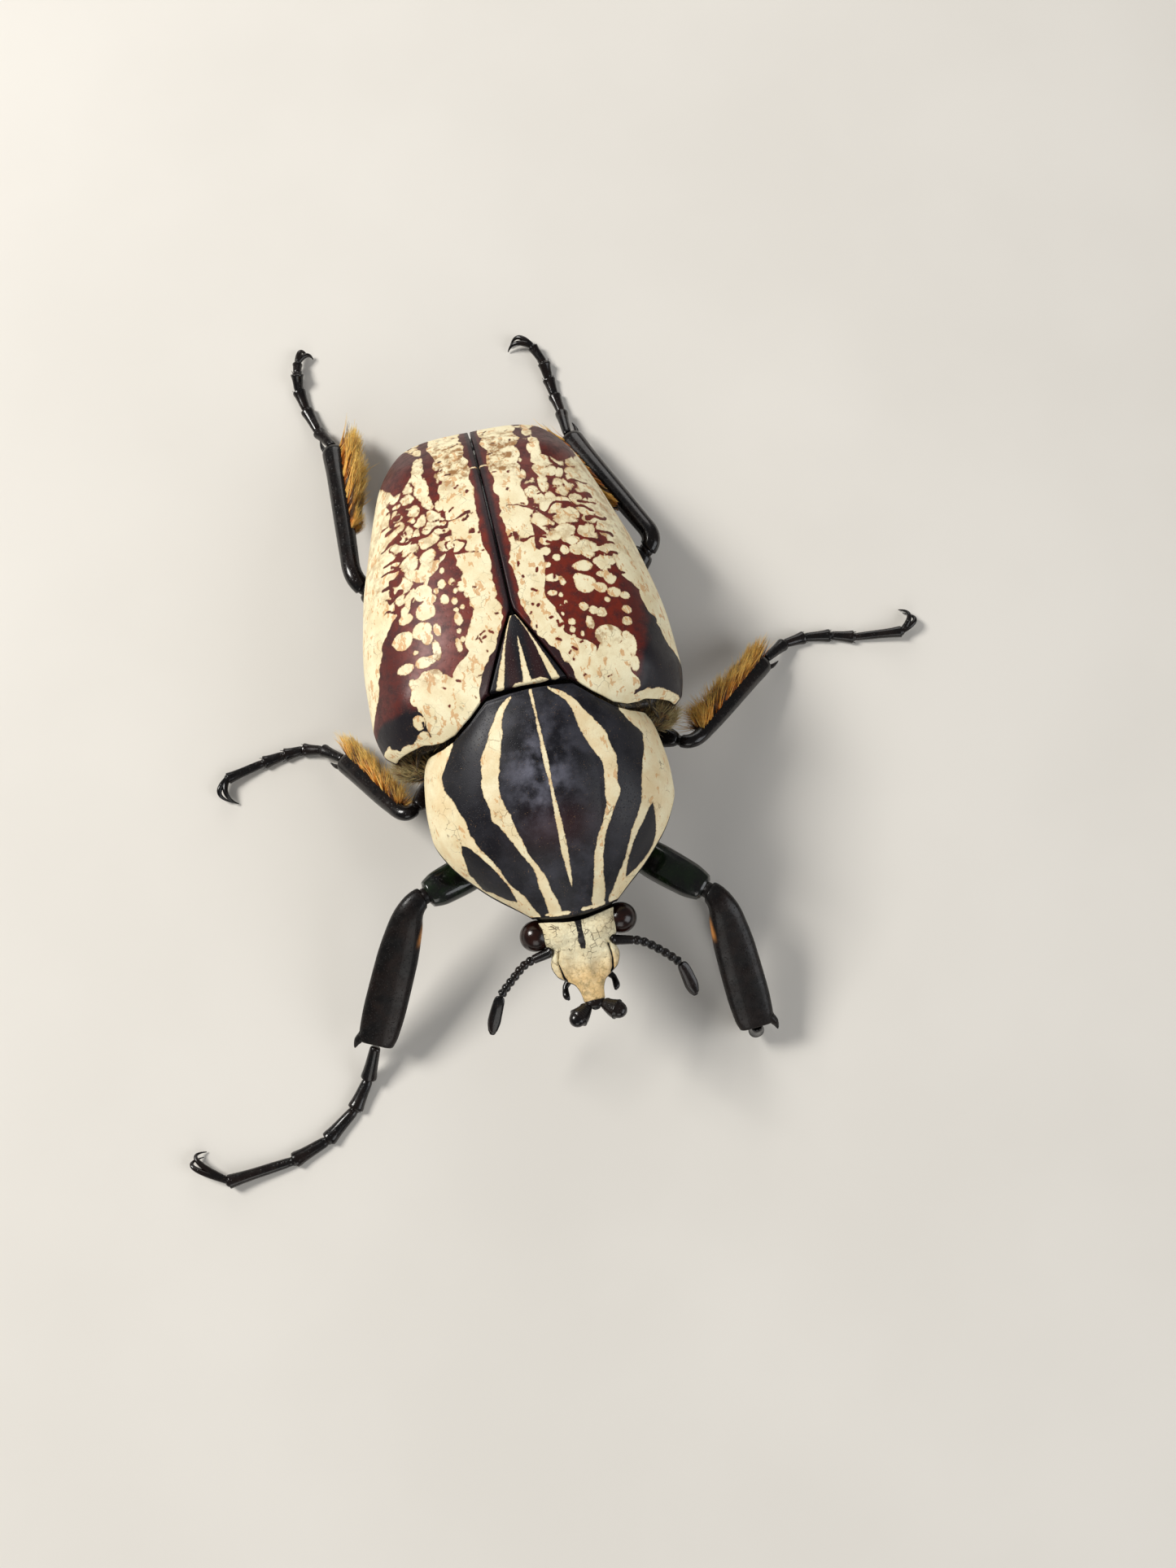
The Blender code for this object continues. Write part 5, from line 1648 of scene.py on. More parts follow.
@dataclass
class Underside:
    """Prothorax, thorax, abdomen and the last plate, under the shell."""

    belly: Pairs = ((-4, 1.8), (3, 0.2), (18, 0.0), (28, 1.0), (36, 3.4), (42, 6.4))
    belly_round: float = 1.7
    prothorax_belly: Pairs = ((0, 6.2), (0.3, 4.0), (0.7, 2.4), (1, 2.2))
    inset: float = 0.7
    side_height: float = 0.6
    rows: int = 81
    columns: int = 121
    clearance: float = 1.8
    core_shift: Pairs = ((-3, -1.2), (3, 0.0), (30, 0.0), (42, 1.9))
    core_rim: float = 0.5
    thorax_rear: float = 17.0
    abdomen_end: float = 41.2
    abdomen_plates: int = 5
    waist_half: float = 18.3
    last_plate: Table = (
        (41.5, 9.2, 12.4, 6.6), (42.6, 8.8, 12.3, 6.6), (43.8, 7.2, 11.9, 7.0), (44.8, 4.6, 11.0, 7.8),
        (45.3, 1.6, 10.0, 9.0))
    plate_centre: Triple = (16.7, -4.1, 12.0)
    plate_axes: tuple[Triple, ...] = ((3.3, 0.0, -0.9), (0.0, 2.3, 0.3), (0.0, -0.6, 2.1))

    def core(self, u: Array, y: Array, upper: bool, shell: Shell) -> Array:
        """Points of the hind body, u across, on its back or its belly.

        Args:
            u: places across, 1 at the side.
            y: places along the body, in millimetres.
            upper: whether the points are on its back.
            shell: the shell plates.

        Returns:
            The points.
        """
        place = y + smooth_line(self.core_shift, y)
        half = smooth_line(shell.half_width, place) - self.clearance
        margin = smooth_line(shell.margin, place)
        power = shell.roundness if upper else self.belly_round
        share = (1 - np.minimum(1, np.abs(u)) ** power) ** (1 / power)
        if upper:
            z = margin + (smooth_line(shell.crown, place) - self.clearance - margin) * share
        else:
            low = margin - self.core_rim
            z = low - (low - smooth_line(self.belly, y)) * share
        return np.stack([half * u, y, z], -1)

    def waist(self, x: Array, shield: Shield) -> Array:
        """The front face of the hind body.

        Args:
            x: places across, in millimetres.
            shield: the shield.

        Returns:
            Place of the face along the body.
        """
        corner = shield.half_width[-1][1]
        beyond = np.clip((np.abs(x) - corner - 1.5) / 1.2, 0, 1)
        return shield.rear_edge(np.minimum(1, np.abs(x) / corner)) + GAP + 0.35 - 1.9 * beyond

    def build(self, shell: Shell, shield: Shield, finish: Material, dull: Material) -> list[Piece]:
        """All four pieces, dressed."""
        return [self.fore_thorax(shield, dull), self.hind_thorax(shell, shield, dull),
                self.abdomen(shell, finish), self.tail(finish)]

    def across(self) -> Array:
        """Places across the body, closer together at both sides."""
        return np.sin(math.pi / 2 * (-1 + 2 * np.linspace(0, 1, self.columns)))[None, :]

    def fore_thorax(self, shield: Shield, finish: Material) -> Piece:
        """The underside of the prothorax, with a keel along the middle.

        Args:
            shield: the shield.
            finish: material of the piece.

        Returns:
            The finished piece.
        """
        u = self.across()
        v = np.linspace(0, 1, self.rows)[:, None]
        front = shield.front + (shield.front_side - shield.front) * u * u
        y = front + (shield.rear_edge(u) - front) * v
        x = (smooth_line(shield.half_width, v) - self.inset) * u
        ceiling = smooth_line(shield.margin, v) - shield.rim - GAP + 0 * u
        side = ceiling - self.side_height
        depth = side - smooth_line(self.prothorax_belly, v)
        low = side - depth * (1 - np.abs(u) ** self.belly_round) ** (1 / self.belly_round)
        low = low + 0.25 * np.exp(-(x / 1.2) ** 2)
        shape = Shape(STANCE.from_trunk)
        shape.add(*slab(np.stack([x, y, ceiling], -1), np.stack([x, y, low], -1)))
        return shape.piece("fore_thorax", finish, "prothorax_underside")

    def hind_thorax(self, shell: Shell, shield: Shield, finish: Material) -> Piece:
        """The thorax under the shell, with its seams below and the plates at the shoulders.

        Args:
            shell: the shell plates.
            shield: the shield.
            finish: material of the piece.

        Returns:
            The finished piece.
        """
        u = self.across()
        waist = self.waist(self.waist_half * u, shield)
        share = clustered(self.rows, 0.4)[:, None]
        y = waist + (self.thorax_rear - waist) * share
        top = self.core(u, y, True, shell)
        top[..., 2] -= 3.0 * (1 - np.abs(u) ** 14) * (1 - share) ** 6
        bottom = self.core(u, y, False, shell)
        bottom[..., 2] += 0.5 * np.exp(-(bottom[..., 0] / 0.5) ** 2) * smooth_step(share, 0.2, 0.5)
        seam = np.abs(bottom[..., 1] - 9.0 - 0.12 * np.abs(bottom[..., 0]))
        bottom[..., 2] += 0.35 * np.exp(-(seam / 0.25) ** 2)
        shape = Shape(STANCE.from_trunk)
        shape.add(*slab(top, bottom))
        centre, axes = np.array(self.plate_centre), np.array(self.plate_axes)
        for sign in (1, -1):
            shape.add(*ellipsoid(centre * (sign, 1, 1), axes * (sign, 1, 1), 40, 28))
        return shape.piece("hind_thorax", finish, "thorax_underside")

    def abdomen(self, shell: Shell, finish: Material) -> Piece:
        """The abdomen, its plates stepped below.

        Args:
            shell: the shell plates.
            finish: material of the piece.

        Returns:
            The finished piece.
        """
        u = self.across()
        start = self.thorax_rear + GAP
        y = (start + (self.abdomen_end - start) * np.linspace(0, 1, 161))[:, None] + 0 * u
        top, bottom = self.core(u, y, True, shell), self.core(u, y, False, shell)
        step = (self.abdomen_end - start) / self.abdomen_plates
        along = (y - start) / step
        fresh = (along - np.floor(along)) * step
        bottom[..., 2] += 0.4 * np.exp(-(fresh / 0.35) ** 2) * (along > 0.98) * (np.abs(u) < 0.93)
        shape = Shape(STANCE.from_trunk)
        shape.add(*slab(top, bottom))
        return shape.piece("abdomen_plates", finish, "abdomen")

    def tail(self, finish: Material) -> Piece:
        """The last plate, a rounded wedge.

        Args:
            finish: material of the piece.

        Returns:
            The finished piece.
        """
        rows, sides = 40, 64
        stations = np.array(self.last_plate)
        first, last = self.last_plate[0][0], self.last_plate[-1][0]
        y = first + (last - first) * np.sin(np.linspace(0, 1, rows) * math.pi / 2)
        half, high, low = (smooth_line(tuple(zip(stations[:, 0], stations[:, k])), y)[:, None]
                           for k in (1, 2, 3))
        c, s = superellipse(ring_angles(sides), 2.2)
        rings = np.stack([half * c, y[:, None] + 0 * c, (high + low) / 2 + (high - low) / 2 * s], -1)
        shape = Shape(STANCE.from_trunk)
        shape.add(*capped(rings, np.stack([rings[0].mean(0), rings[-1].mean(0) + (0, 0.02, 0)])))
        return shape.piece("tail_plate", finish, "pygidium")


# Head

@dataclass
class Head:
    """Head with its lobes, clypeus and eyes; the forked horn and the mouthparts are built by their own
    classes.
    """

    neck: float = -30.7
    neck_curve: float = 1.4
    neck_reach: float = 5.9
    tip: float = -41.6
    rows: int = 221
    sides: int = 200
    half_width: Pairs = (
        (-41.6, 1.45), (-40.2, 1.6), (-38.8, 2.1), (-37.9, 3.2), (-37.0, 4.3), (-35.4, 4.85), (-34.2, 4.5),
        (-33.6, 4.1), (-33.0, 5.0), (-32.2, 5.5), (-30.7, 5.5))
    top: Pairs = ((-41.9, 9.4), (-38.5, 8.9), (-35, 10.1), (-32.5, 11.6), (-30.75, 12.3))
    bottom: Pairs = ((-41.9, 7.7), (-39, 6.6), (-36, 5.4), (-33, 4.6), (-30.75, 5.2))
    roundness: float = 2.8
    eye: Triple = (6.0, -30.9, 8.4)
    eye_radii: Triple = (2.3, 2.2, 2.35)
    stripe: Pairs = (
        (-36.8, -0.3), (-36.2, 0.0), (-34.6, 0.12), (-34.1, 0.36), (-33.2, 0.44), (-32, 0.32), (-31, 0.42),
        (-30, 0.6))
    groove: Pairs = ((-38.2, 3.0), (-37, 3.5), (-35.5, 3.75), (-34, 3.45), (-33.2, 3.2))

    def build(self) -> list[Piece]:
        """The head and all on it, dressed.

        Returns:
            The finished pieces.
        """
        rows, sides = self.rows, self.sides
        y = self.neck + (self.tip - self.neck) * clustered(rows, 0.25)
        half, high, low = (smooth_line(line, y)[:, None] for line in (self.half_width, self.top, self.bottom))
        c, s = superellipse(ring_angles(sides), self.roundness)
        end = np.sqrt(np.clip(1 - (1 - np.clip((y - self.tip) / 0.5, 0, 1)) ** 2, 0, 1))[:, None]
        half = half * (0.55 + 0.45 * end)
        x = half * c
        z = (high + low) / 2 + (high - low) / 2 * s * (0.6 + 0.4 * end)
        fade = np.clip(1 - 4 * (self.neck - y) / (self.neck - self.tip), 0, 1)[:, None]
        y_all = y[:, None] + fade * self.neck_curve * (x / self.neck_reach) ** 2
        upper = smooth_step(np.repeat(s[None, :], rows, 0), 0.2, 0.75)
        groove = smooth_line(self.groove, y)[:, None]
        inside = smooth_step(-y, 33.3, 34.2)[:, None] * smooth_step(y, -38.3, -37.6)[:, None]
        cut = np.exp(-((np.abs(x) - groove - 0.12 * soft_noise(x, y_all, 1.3, 80)) / 0.2) ** 2) * inside
        lobes = 0.5 * np.exp(-((np.abs(x) - 3.4) / 1.7) ** 2 - ((y[:, None] + 32.2) / 1.3) ** 2)
        hollow = 0.5 * np.exp(-((np.abs(x) - 1.9) / 1.3) ** 2 - ((y[:, None] + 36.3) / 1.6) ** 2)
        ridge = 0.35 * np.exp(-(x / 0.9) ** 2 - ((y[:, None] + 37) / 3.0) ** 2)
        rough = 0.07 * soft_noise(x, y_all, 0.9, 77) + 0.05 * soft_noise(x, y_all, 0.4, 78)
        z = z + upper * (lobes - hollow + ridge - 0.6 * cut + rough - 0.25)
        rings = np.stack([x, y_all, z], -1)
        mesh = trunk_mesh("head_capsule", *capped(rings, np.stack([rings[0].mean(0), rings[-1].mean(0)])))
        height = (z - (high + low) / 2) / ((high - low) / 2)
        # Below a little above mid-height the head is black: partly its own black underside, partly painted
        # shade along its sides.
        pale = np.minimum(2.2 * (height - 0.27), np.abs(x) - smooth_line(self.stripe, y)[:, None])
        pale = np.minimum(pale, 0.55 - (0.66 + 0.3 * soft_noise(x, y_all, 0.8, 79)) * cut)
        tan = smooth_step(-y, 34.2, 38.5)[:, None] + 0 * x
        set_values(mesh, pale=np.concatenate([pale.ravel(), [-1, -1]]),
                   tan=np.concatenate([tan.ravel(), [0, 1]]))
        made = [make_piece("head_capsule", mesh, HeadFinish().material(), ("head",))]
        return made + self.eyes()

    def eyes(self) -> list[Piece]:
        """The two eyes.

        Returns:
            The finished pieces.
        """
        made = []
        finish = EyeFinish().material()
        for side, sign in (("left", 1), ("right", -1)):
            centre = np.array(self.eye) * (sign, 1, 1)
            mesh = trunk_mesh(f"facet_eye_{side}", *ellipsoid(centre, np.diag(self.eye_radii), 96, 64))
            made.append(make_piece(f"facet_eye_{side}", mesh, finish, (f"eye_{side}",)))
        return made


@dataclass
class Horn:
    """Fork with two clubbed arms in front of the clypeus."""

    root: Table = ((0, -41.4, 8.5, 1.4), (0, -42.0, 8.55, 1.3), (0, -42.7, 8.5, 0.6))
    arm: Table = (
        (1.15, -41.7, 8.6, 0.75), (1.6, -42.4, 8.9, 0.95), (2.25, -43.05, 9.3, 1.25),
        (3.05, -43.65, 9.7, 1.5), (3.75, -44.2, 10.0, 1.2))
    flat: float = 0.85
    stem_flat: float = 0.6
    ripple: float = 0.02

    def build(self, finish: Material) -> Piece:
        """The fork, dressed.

        Args:
            finish: material of the piece.

        Returns:
            The finished piece.
        """
        shape = Shape(STANCE.from_trunk)
        ahead = np.array([0, -1.0, 0])
        path, size = refine(np.array(self.root), 16)
        shape.add(*tube(path, size, size * self.stem_flat, 40, first=ahead, last=ahead, round_ends=(0, 0.9)))
        for sign in (1, -1):
            path, size = refine(np.array(self.arm) * (sign, 1, 1, 1), 40)
            size = size * (1 + self.ripple * np.sin(np.arange(40) * 1.9 + sign))
            shape.add(*tube(path, size, size * self.flat, 40, round_ends=(0.6, 1.3)))
        return shape.piece("horn_fork", finish, "horn")


@dataclass
class Mouthparts:
    """Chin plate and palps."""

    chin: tuple[tuple[float, float], ...] = ((-33.4, 1.7), (-35.0, 2.5), (-37.0, 2.6), (-38.4, 1.7))
    depth: float = 1.5
    palp: Table = (
        (1.6, -36.4, 4.2, 0.45), (2.8, -37.3, 3.9, 0.5), (3.5, -38.2, 3.9, 0.42), (3.6, -39.2, 4.1, 0.5),
        (3.3, -40.0, 4.2, 0.25))

    def build(self, head: Head, finish: Material) -> Piece:
        """Chin and palps, dressed.

        Args:
            head: the head.
            finish: material of the piece.

        Returns:
            The finished piece.
        """
        shape = Shape(STANCE.from_trunk)
        y = np.linspace(self.chin[0][0], self.chin[-1][0], 24)
        half = smooth_line(tuple((-a, b) for a, b in self.chin), -y)
        path = np.stack([0 * y, y, smooth_line(head.bottom, y) - GAP - self.depth / 2], -1)
        shape.add(*tube(path, half, np.full(24, self.depth / 2), 40, power=2.8, round_ends=(0.8, 0.8)))
        for sign in (1, -1):
            path, size = refine(np.array(self.palp) * (sign, 1, 1, 1), 32)
            shape.add(*tube(path, size, size, 20, round_ends=(0.5, 1.0)))
        return shape.piece("chin_and_palps", finish, "mouthparts")


def refine(rows: Array, count: int) -> tuple[Array, Array]:
    """A smooth path and its radii, at even steps.

    Args:
        rows: rows of x, y, z and radius.
        count: number of steps.

    Returns:
        The path and its radii.
    """
    length = run_length(rows[:, :3])
    t = np.linspace(0, length[-1], count)
    lines = [smooth_line(tuple(zip(length, rows[:, k])), t) for k in range(4)]
    return np.stack(lines[:3], -1), lines[3]


@dataclass
class Antenna:
    """Antenna with its bead-like joints and a club of three leaves."""

    stations: Table
    root_reach: float = 0.42
    root_radius: float = 0.75
    scape: float = 0.3
    beads: int = 7
    leaf_thick: float = 0.24
    leaf_gap: float = 0.42
    leaf_splay: float = 0.12

    def build(self, side: str, finish: Material) -> Piece:
        """The antenna, dressed.

        Args:
            side: left or right.
            finish: material of the piece.

        Returns:
            The finished piece.
        """
        shape = Shape(STANCE.from_ground)
        rows = np.array(self.stations)
        root = rows[0] + (rows[0] - rows[1]) * self.root_reach
        root[3] = self.root_radius
        rows = np.concatenate([[root], rows])
        shaft, size = refine(rows[:5], 97)
        t = np.linspace(0, 1, 97)
        joint = ((t - self.scape) / (1 - self.scape) * self.beads) % 1
        size = size * np.where(t < self.scape, 1.0, 0.72 + 0.38 * np.sin(math.pi * joint))
        outward = np.array([math.copysign(1, rows[0, 0]), 0, 0.0])
        shape.add(*tube(shaft, size, size, 28, first=outward, round_ends=(0.8, 0.8)))
        club, wide = refine(rows[4:], 40)
        for leaf in (-1, 0, 1):
            part = slice(0, 40 if leaf == 0 else 38)
            lift = np.array([self.leaf_splay * leaf, 0, self.leaf_gap * leaf])
            path = club[part] + lift * np.linspace(0.3, 1, 40)[part, None]
            thick = np.full(40, self.leaf_thick)[part]
            shape.add(*tube(path, wide[part] * 0.9, thick, 28, round_ends=(0.8, 1.0)))
        return shape.piece(f"feeler_{side}", finish, f"antenna_{side}")


# Legs

@dataclass
class Leg:
    """One leg: hip, femur, tibia with spines, and a tarsus with two claws."""

    name: str
    hip: Triple
    knee: Triple
    ankle: Triple
    toes: tuple[Triple, ...]
    claw: Triple
    claw_tip: Triple

    @property
    def kind(self) -> str:
        """Fore, mid or hind."""
        return self.name.split("_")[0]

    @property
    def out(self) -> Array:
        """Direction of the femur."""
        return unit(np.subtract(self.knee, self.hip))

    @property
    def down(self) -> Array:
        """Direction of the tibia."""
        return unit(np.subtract(self.ankle, self.knee))

    @property
    def inner(self) -> Array:
        """Direction across the tibia, to the side of its brush or, on a fore leg, away from its teeth."""
        side = unit(np.cross(self.down, UP))
        return side if self.name.endswith("right") != (self.kind == "fore") else -side


COXA = {"fore": (3.9, 3.0, 2.9, 2.4), "mid": (3.5, 2.9, 2.6, 2.2), "hind": (4.4, 3.2, 2.5, 2.6)}
FEMUR = {
    "fore": ((0, 1.5, 1.4), (0.15, 2.1, 1.7), (0.5, 2.75, 1.9), (0.8, 2.6, 1.8), (0.95, 2.1, 1.5),
             (1, 1.7, 1.3)),
    "mid": ((0, 1.4, 1.3), (0.2, 1.8, 1.5), (0.55, 2.2, 1.7), (0.85, 1.7, 1.3), (1, 0.95, 0.9)),
    "hind": ((0, 1.5, 1.3), (0.2, 1.9, 1.5), (0.55, 2.4, 1.6), (0.85, 2.2, 1.6), (1, 1.6, 1.3)),
}
TIBIA = {
    "fore": ((0, 1.5, 1.2), (0.1, 1.9, 1.25), (0.22, 2.5, 1.25), (0.45, 3.0, 1.2), (0.75, 3.1, 1.15),
             (0.92, 2.9, 1.1), (1, 2.5, 0.9)),
    "mid": ((0, 0.95, 0.9), (0.12, 1.1, 1.1), (0.4, 1.45, 1.3), (0.8, 1.65, 1.45), (0.95, 1.75, 1.4),
            (1, 1.4, 1.1)),
    "hind": ((0, 1.4, 1.25), (0.12, 1.4, 1.25), (0.4, 1.5, 1.3), (0.8, 1.62, 1.4), (0.95, 1.8, 1.4),
             (1, 1.45, 1.1)),
}


def limb_sizes(table: Table, t: Array) -> tuple[Array, Array]:
    """Half-width and half-height of a limb at shares t of its length."""
    return tuple(smooth_line(tuple((row[0], row[k]) for row in table), t) for k in (1, 2))


@dataclass
class LegMaker:
    """Makes the pieces of a leg."""

    gloss: Material
    pitted: Material
    green: Material
    knee_back: float = 2.2
    knee_bend: float = 2.8
    spur: tuple[float, float] = (3.0, 0.45)
    tooth: tuple[float, float] = (2.6, 0.8)
    claw_radius: float = 0.48
    flare_places: tuple[float, ...] = (0.03, 0.1, 0.3, 0.55, 0.75, 0.88, 0.95, 0.99)
    flare: tuple[float, ...] = (0.52, 0.62, 0.68, 0.74, 0.82, 0.92, 0.92, 0.62)
    last_flare: tuple[float, ...] = (0.5, 0.56, 0.6, 0.63, 0.7, 0.8, 0.84, 0.6)

    def build(self, leg: Leg) -> list[Piece]:
        """All pieces of one leg, dressed."""
        return [self.hip(leg), self.thigh(leg), self.shin(leg), self.foot(leg)]

    def hip(self, leg: Leg) -> Piece:
        """The hip, an ellipsoid drawn out to the femur and flattened where the two meet.

        Args:
            leg: the leg.

        Returns:
            The finished piece.
        """
        long, wide, thick, face = COXA[leg.kind]
        side = unit(np.cross(leg.out, UP))
        axes = np.stack([side * wide, np.cross(side, leg.out) * thick, leg.out * long])
        points, faces = ellipsoid(np.array(leg.hip), axes, 48, 32)
        over = np.clip((points - leg.hip) @ leg.out - (face - GAP / 2), 0, None)
        shape = Shape(STANCE.from_ground)
        shape.add(points - over[:, None] * leg.out * 0.92, faces)
        return shape.piece(f"hip_{leg.name}", self.gloss, f"coxa_{leg.name}")

    def thigh(self, leg: Leg) -> Piece:
        """The femur, with a ball at its root.

        Args:
            leg: the leg.

        Returns:
            The finished piece.
        """
        table, face = FEMUR[leg.kind], COXA[leg.kind][3]
        start = np.array(leg.hip) + leg.out * (face + GAP / 2)
        end = np.array(leg.knee) - leg.out * (self.knee_back + GAP / 2)
        t = np.linspace(0, 1, 64)
        shape = Shape(STANCE.from_ground)
        path = start + (end - start) * t[:, None]
        shape.add(*tube(path, *limb_sizes(table, t), 48, round_ends=(0.25, 0.3)))
        ball = np.eye(3) * table[0][1] * 0.72
        shape.add(*ellipsoid(np.array(leg.hip) + leg.out * (face + 0.1), ball, 24, 16))
        finish = self.green if leg.kind == "fore" else self.gloss
        return shape.piece(f"thigh_{leg.name}", finish, f"femur_{leg.name}")

    def shin_path(self, leg: Leg) -> tuple[Array, Array]:
        """Points from the knee face round the bent base to the ankle, with each one's share of the length.

        Args:
            leg: the leg.

        Returns:
            The points and their shares.
        """
        knee = np.array(leg.knee)
        start = knee - leg.out * (self.knee_back - GAP / 2)
        turn = knee + leg.down * self.knee_bend
        end = np.array(leg.ankle) - leg.down * GAP / 2
        s = np.linspace(0, 1, 24, endpoint=False)[:, None]
        bend = start * (1 - s) ** 2 + knee * 2 * s * (1 - s) + turn * s * s
        t = np.linspace(0, 1, 90)[:, None]
        path = np.concatenate([bend, turn * (1 - t) + end * t])
        length = run_length(path)
        return path, length / length[-1]

    def shin(self, leg: Leg) -> Piece:
        """The tibia, with its knee ball and its tooth or spurs.

        Args:
            leg: the leg.

        Returns:
            The finished piece.
        """
        path, share = self.shin_path(leg)
        table, fore = TIBIA[leg.kind], leg.kind == "fore"
        points, faces = tube(path, *limb_sizes(table, share), 56, power=2.6 if fore else 2.15, first=leg.out,
                             last=leg.down, round_ends=(0.3, 0.25))
        tone = np.zeros(len(points))
        if fore:
            away, along = ((points - np.array(leg.knee)) @ run for run in (leg.inner, leg.down))
            reach = np.linalg.norm(np.subtract(leg.ankle, leg.knee))
            line = smooth_step(along, 1.6, 2.4) * smooth_step(-along, -6.4, -4.6)
            tone = line * smooth_step(away, 2.15, 2.6)
            crest = smooth_step(along, reach * 0.9, reach) * np.clip(-away, 0, 3) * 0.12
            points = points + leg.down * crest[:, None]
        shape = Shape(STANCE.from_ground)
        shape.add(points, faces, tone)
        ball = min(table[0][1], FEMUR[leg.kind][-1][1]) * 0.8
        shape.add(*ellipsoid(np.array(leg.knee) - leg.out * self.knee_back, np.eye(3) * ball, 24, 16))
        length, radius = self.tooth if fore else self.spur
        for sign in (-1,) if fore else (1, -1):
            out = sign * leg.inner
            root = np.array(leg.ankle) + out * (table[-2][1] - 0.9) - leg.down * length * 0.45
            tip = root + leg.down * length + out * 0.9
            t = np.linspace(0, 1, 24)
            path = root + (tip - root) * t[:, None] + out * (0.25 * np.sin(math.pi * t))[:, None]
            size = radius * np.interp(t, [0, 0.5, 1], [1, 0.75, 0.15])
            shape.add(*tube(path, size, size, 20, round_ends=(0.5, 1.0)))
        return shape.piece(f"shin_{leg.name}", self.pitted if fore else self.gloss, f"tibia_{leg.name}")

    def foot(self, leg: Leg) -> Piece:
        """Five flared segments with short spines, and two hooked claws.

        Args:
            leg: the leg.

        Returns:
            The finished piece.
        """
        stops = [np.array(leg.ankle) + leg.down * GAP / 2] + [np.array(toe) for toe in leg.toes]
        shape = Shape(STANCE.from_ground)
        self.add_resting(shape, self.segments(leg, stops))
        for a, b in zip(stops[:-2], stops[1:-1]):
            run = unit(b - a)
            side = np.cross(run, UP)
            for sign in (1, -1):
                root = a + (b - a) * 0.82 + side * sign * 0.55
                tip = root + run * 1.0 + side * sign * 0.38 - np.array([0, 0, 0.1])
                taper = np.linspace(0.12, 0.03, 6)
                path = root + (tip - root) * np.linspace(0, 1, 6)[:, None]
                self.add_resting(shape, tube(path, taper, taper, 8, round_ends=(0, 0)), 0.02)
        root = stops[-1] + (stops[-2] - stops[-1]) * 0.08
        for sign in (-1, 1):
            self.add_resting(shape, self.claw(leg, root, sign))
        return shape.piece(f"foot_{leg.name}", self.gloss, f"tarsus_{leg.name}")

    def segments(self, leg: Leg, stops: list[Array]) -> Solid:
        """The segments of the tarsus as one tube.

        Args:
            leg: the leg.
            stops: ends of the segments.

        Returns:
            Points and faces of the closed piece.
        """
        shares = np.array(self.flare_places)[:, None]
        path = np.concatenate([a + (b - a) * shares for a, b in zip(stops, stops[1:])])
        size = np.concatenate([self.flare] * (len(leg.toes) - 1) + [self.last_flare])
        fine = np.linspace(0, len(path) - 1, 4 * len(path))
        spots = np.arange(len(path))
        path = np.stack([np.interp(fine, spots, path[:, k]) for k in range(3)], -1)
        size = np.interp(fine, spots, size) * (1.28 if leg.kind == "fore" else 1.1)
        return tube(path, size, size * 0.9, 28, first=leg.down, round_ends=(0.3, 0.8))

    def claw(self, leg: Leg, root: Array, sign: int) -> Solid:
        """One hooked claw.

        Args:
            leg: the leg.
            root: where the claw starts.
            sign: 1 or -1, for the side that it bends to.

        Returns:
            Points and faces of the closed piece.
        """
        crown, tip = np.array(leg.claw), np.array(leg.claw_tip)
        across = np.cross(crown - root, UP)
        across *= sign * 0.6 / np.linalg.norm(across)
        t = np.linspace(0, 1, 36)[:, None]
        bow = root * (1 - t) ** 2 + (crown * 2 - (root + tip) / 2) * 2 * t * (1 - t) + tip * t * t
        bow = bow + across * np.sin(math.radians(135) * t)
        taper = self.claw_radius * (1 - 0.85 * t[:, 0] ** 1.6)
        return tube(bow, taper, taper, 20, round_ends=(0.5, 1.0))

    def add_resting(self, shape: Shape, solid: Solid, floor: float = 0.0) -> None:
        """Adds a closed piece, held above the floor.

        Args:
            shape: the shape that it joins.
            solid: its points and faces.
            floor: lowest height.
        """
        points, faces = solid
        points[:, 2] = np.maximum(points[:, 2], floor)
        shape.add(points, faces)


# Bristles

@dataclass
class Roots:
    """Where bristles stand, how they lie and curl, their length, and their place on the skin."""

    place: Array
    lie: Array
    curl: Array
    length: Array
    skin: Array
    tuft: Array


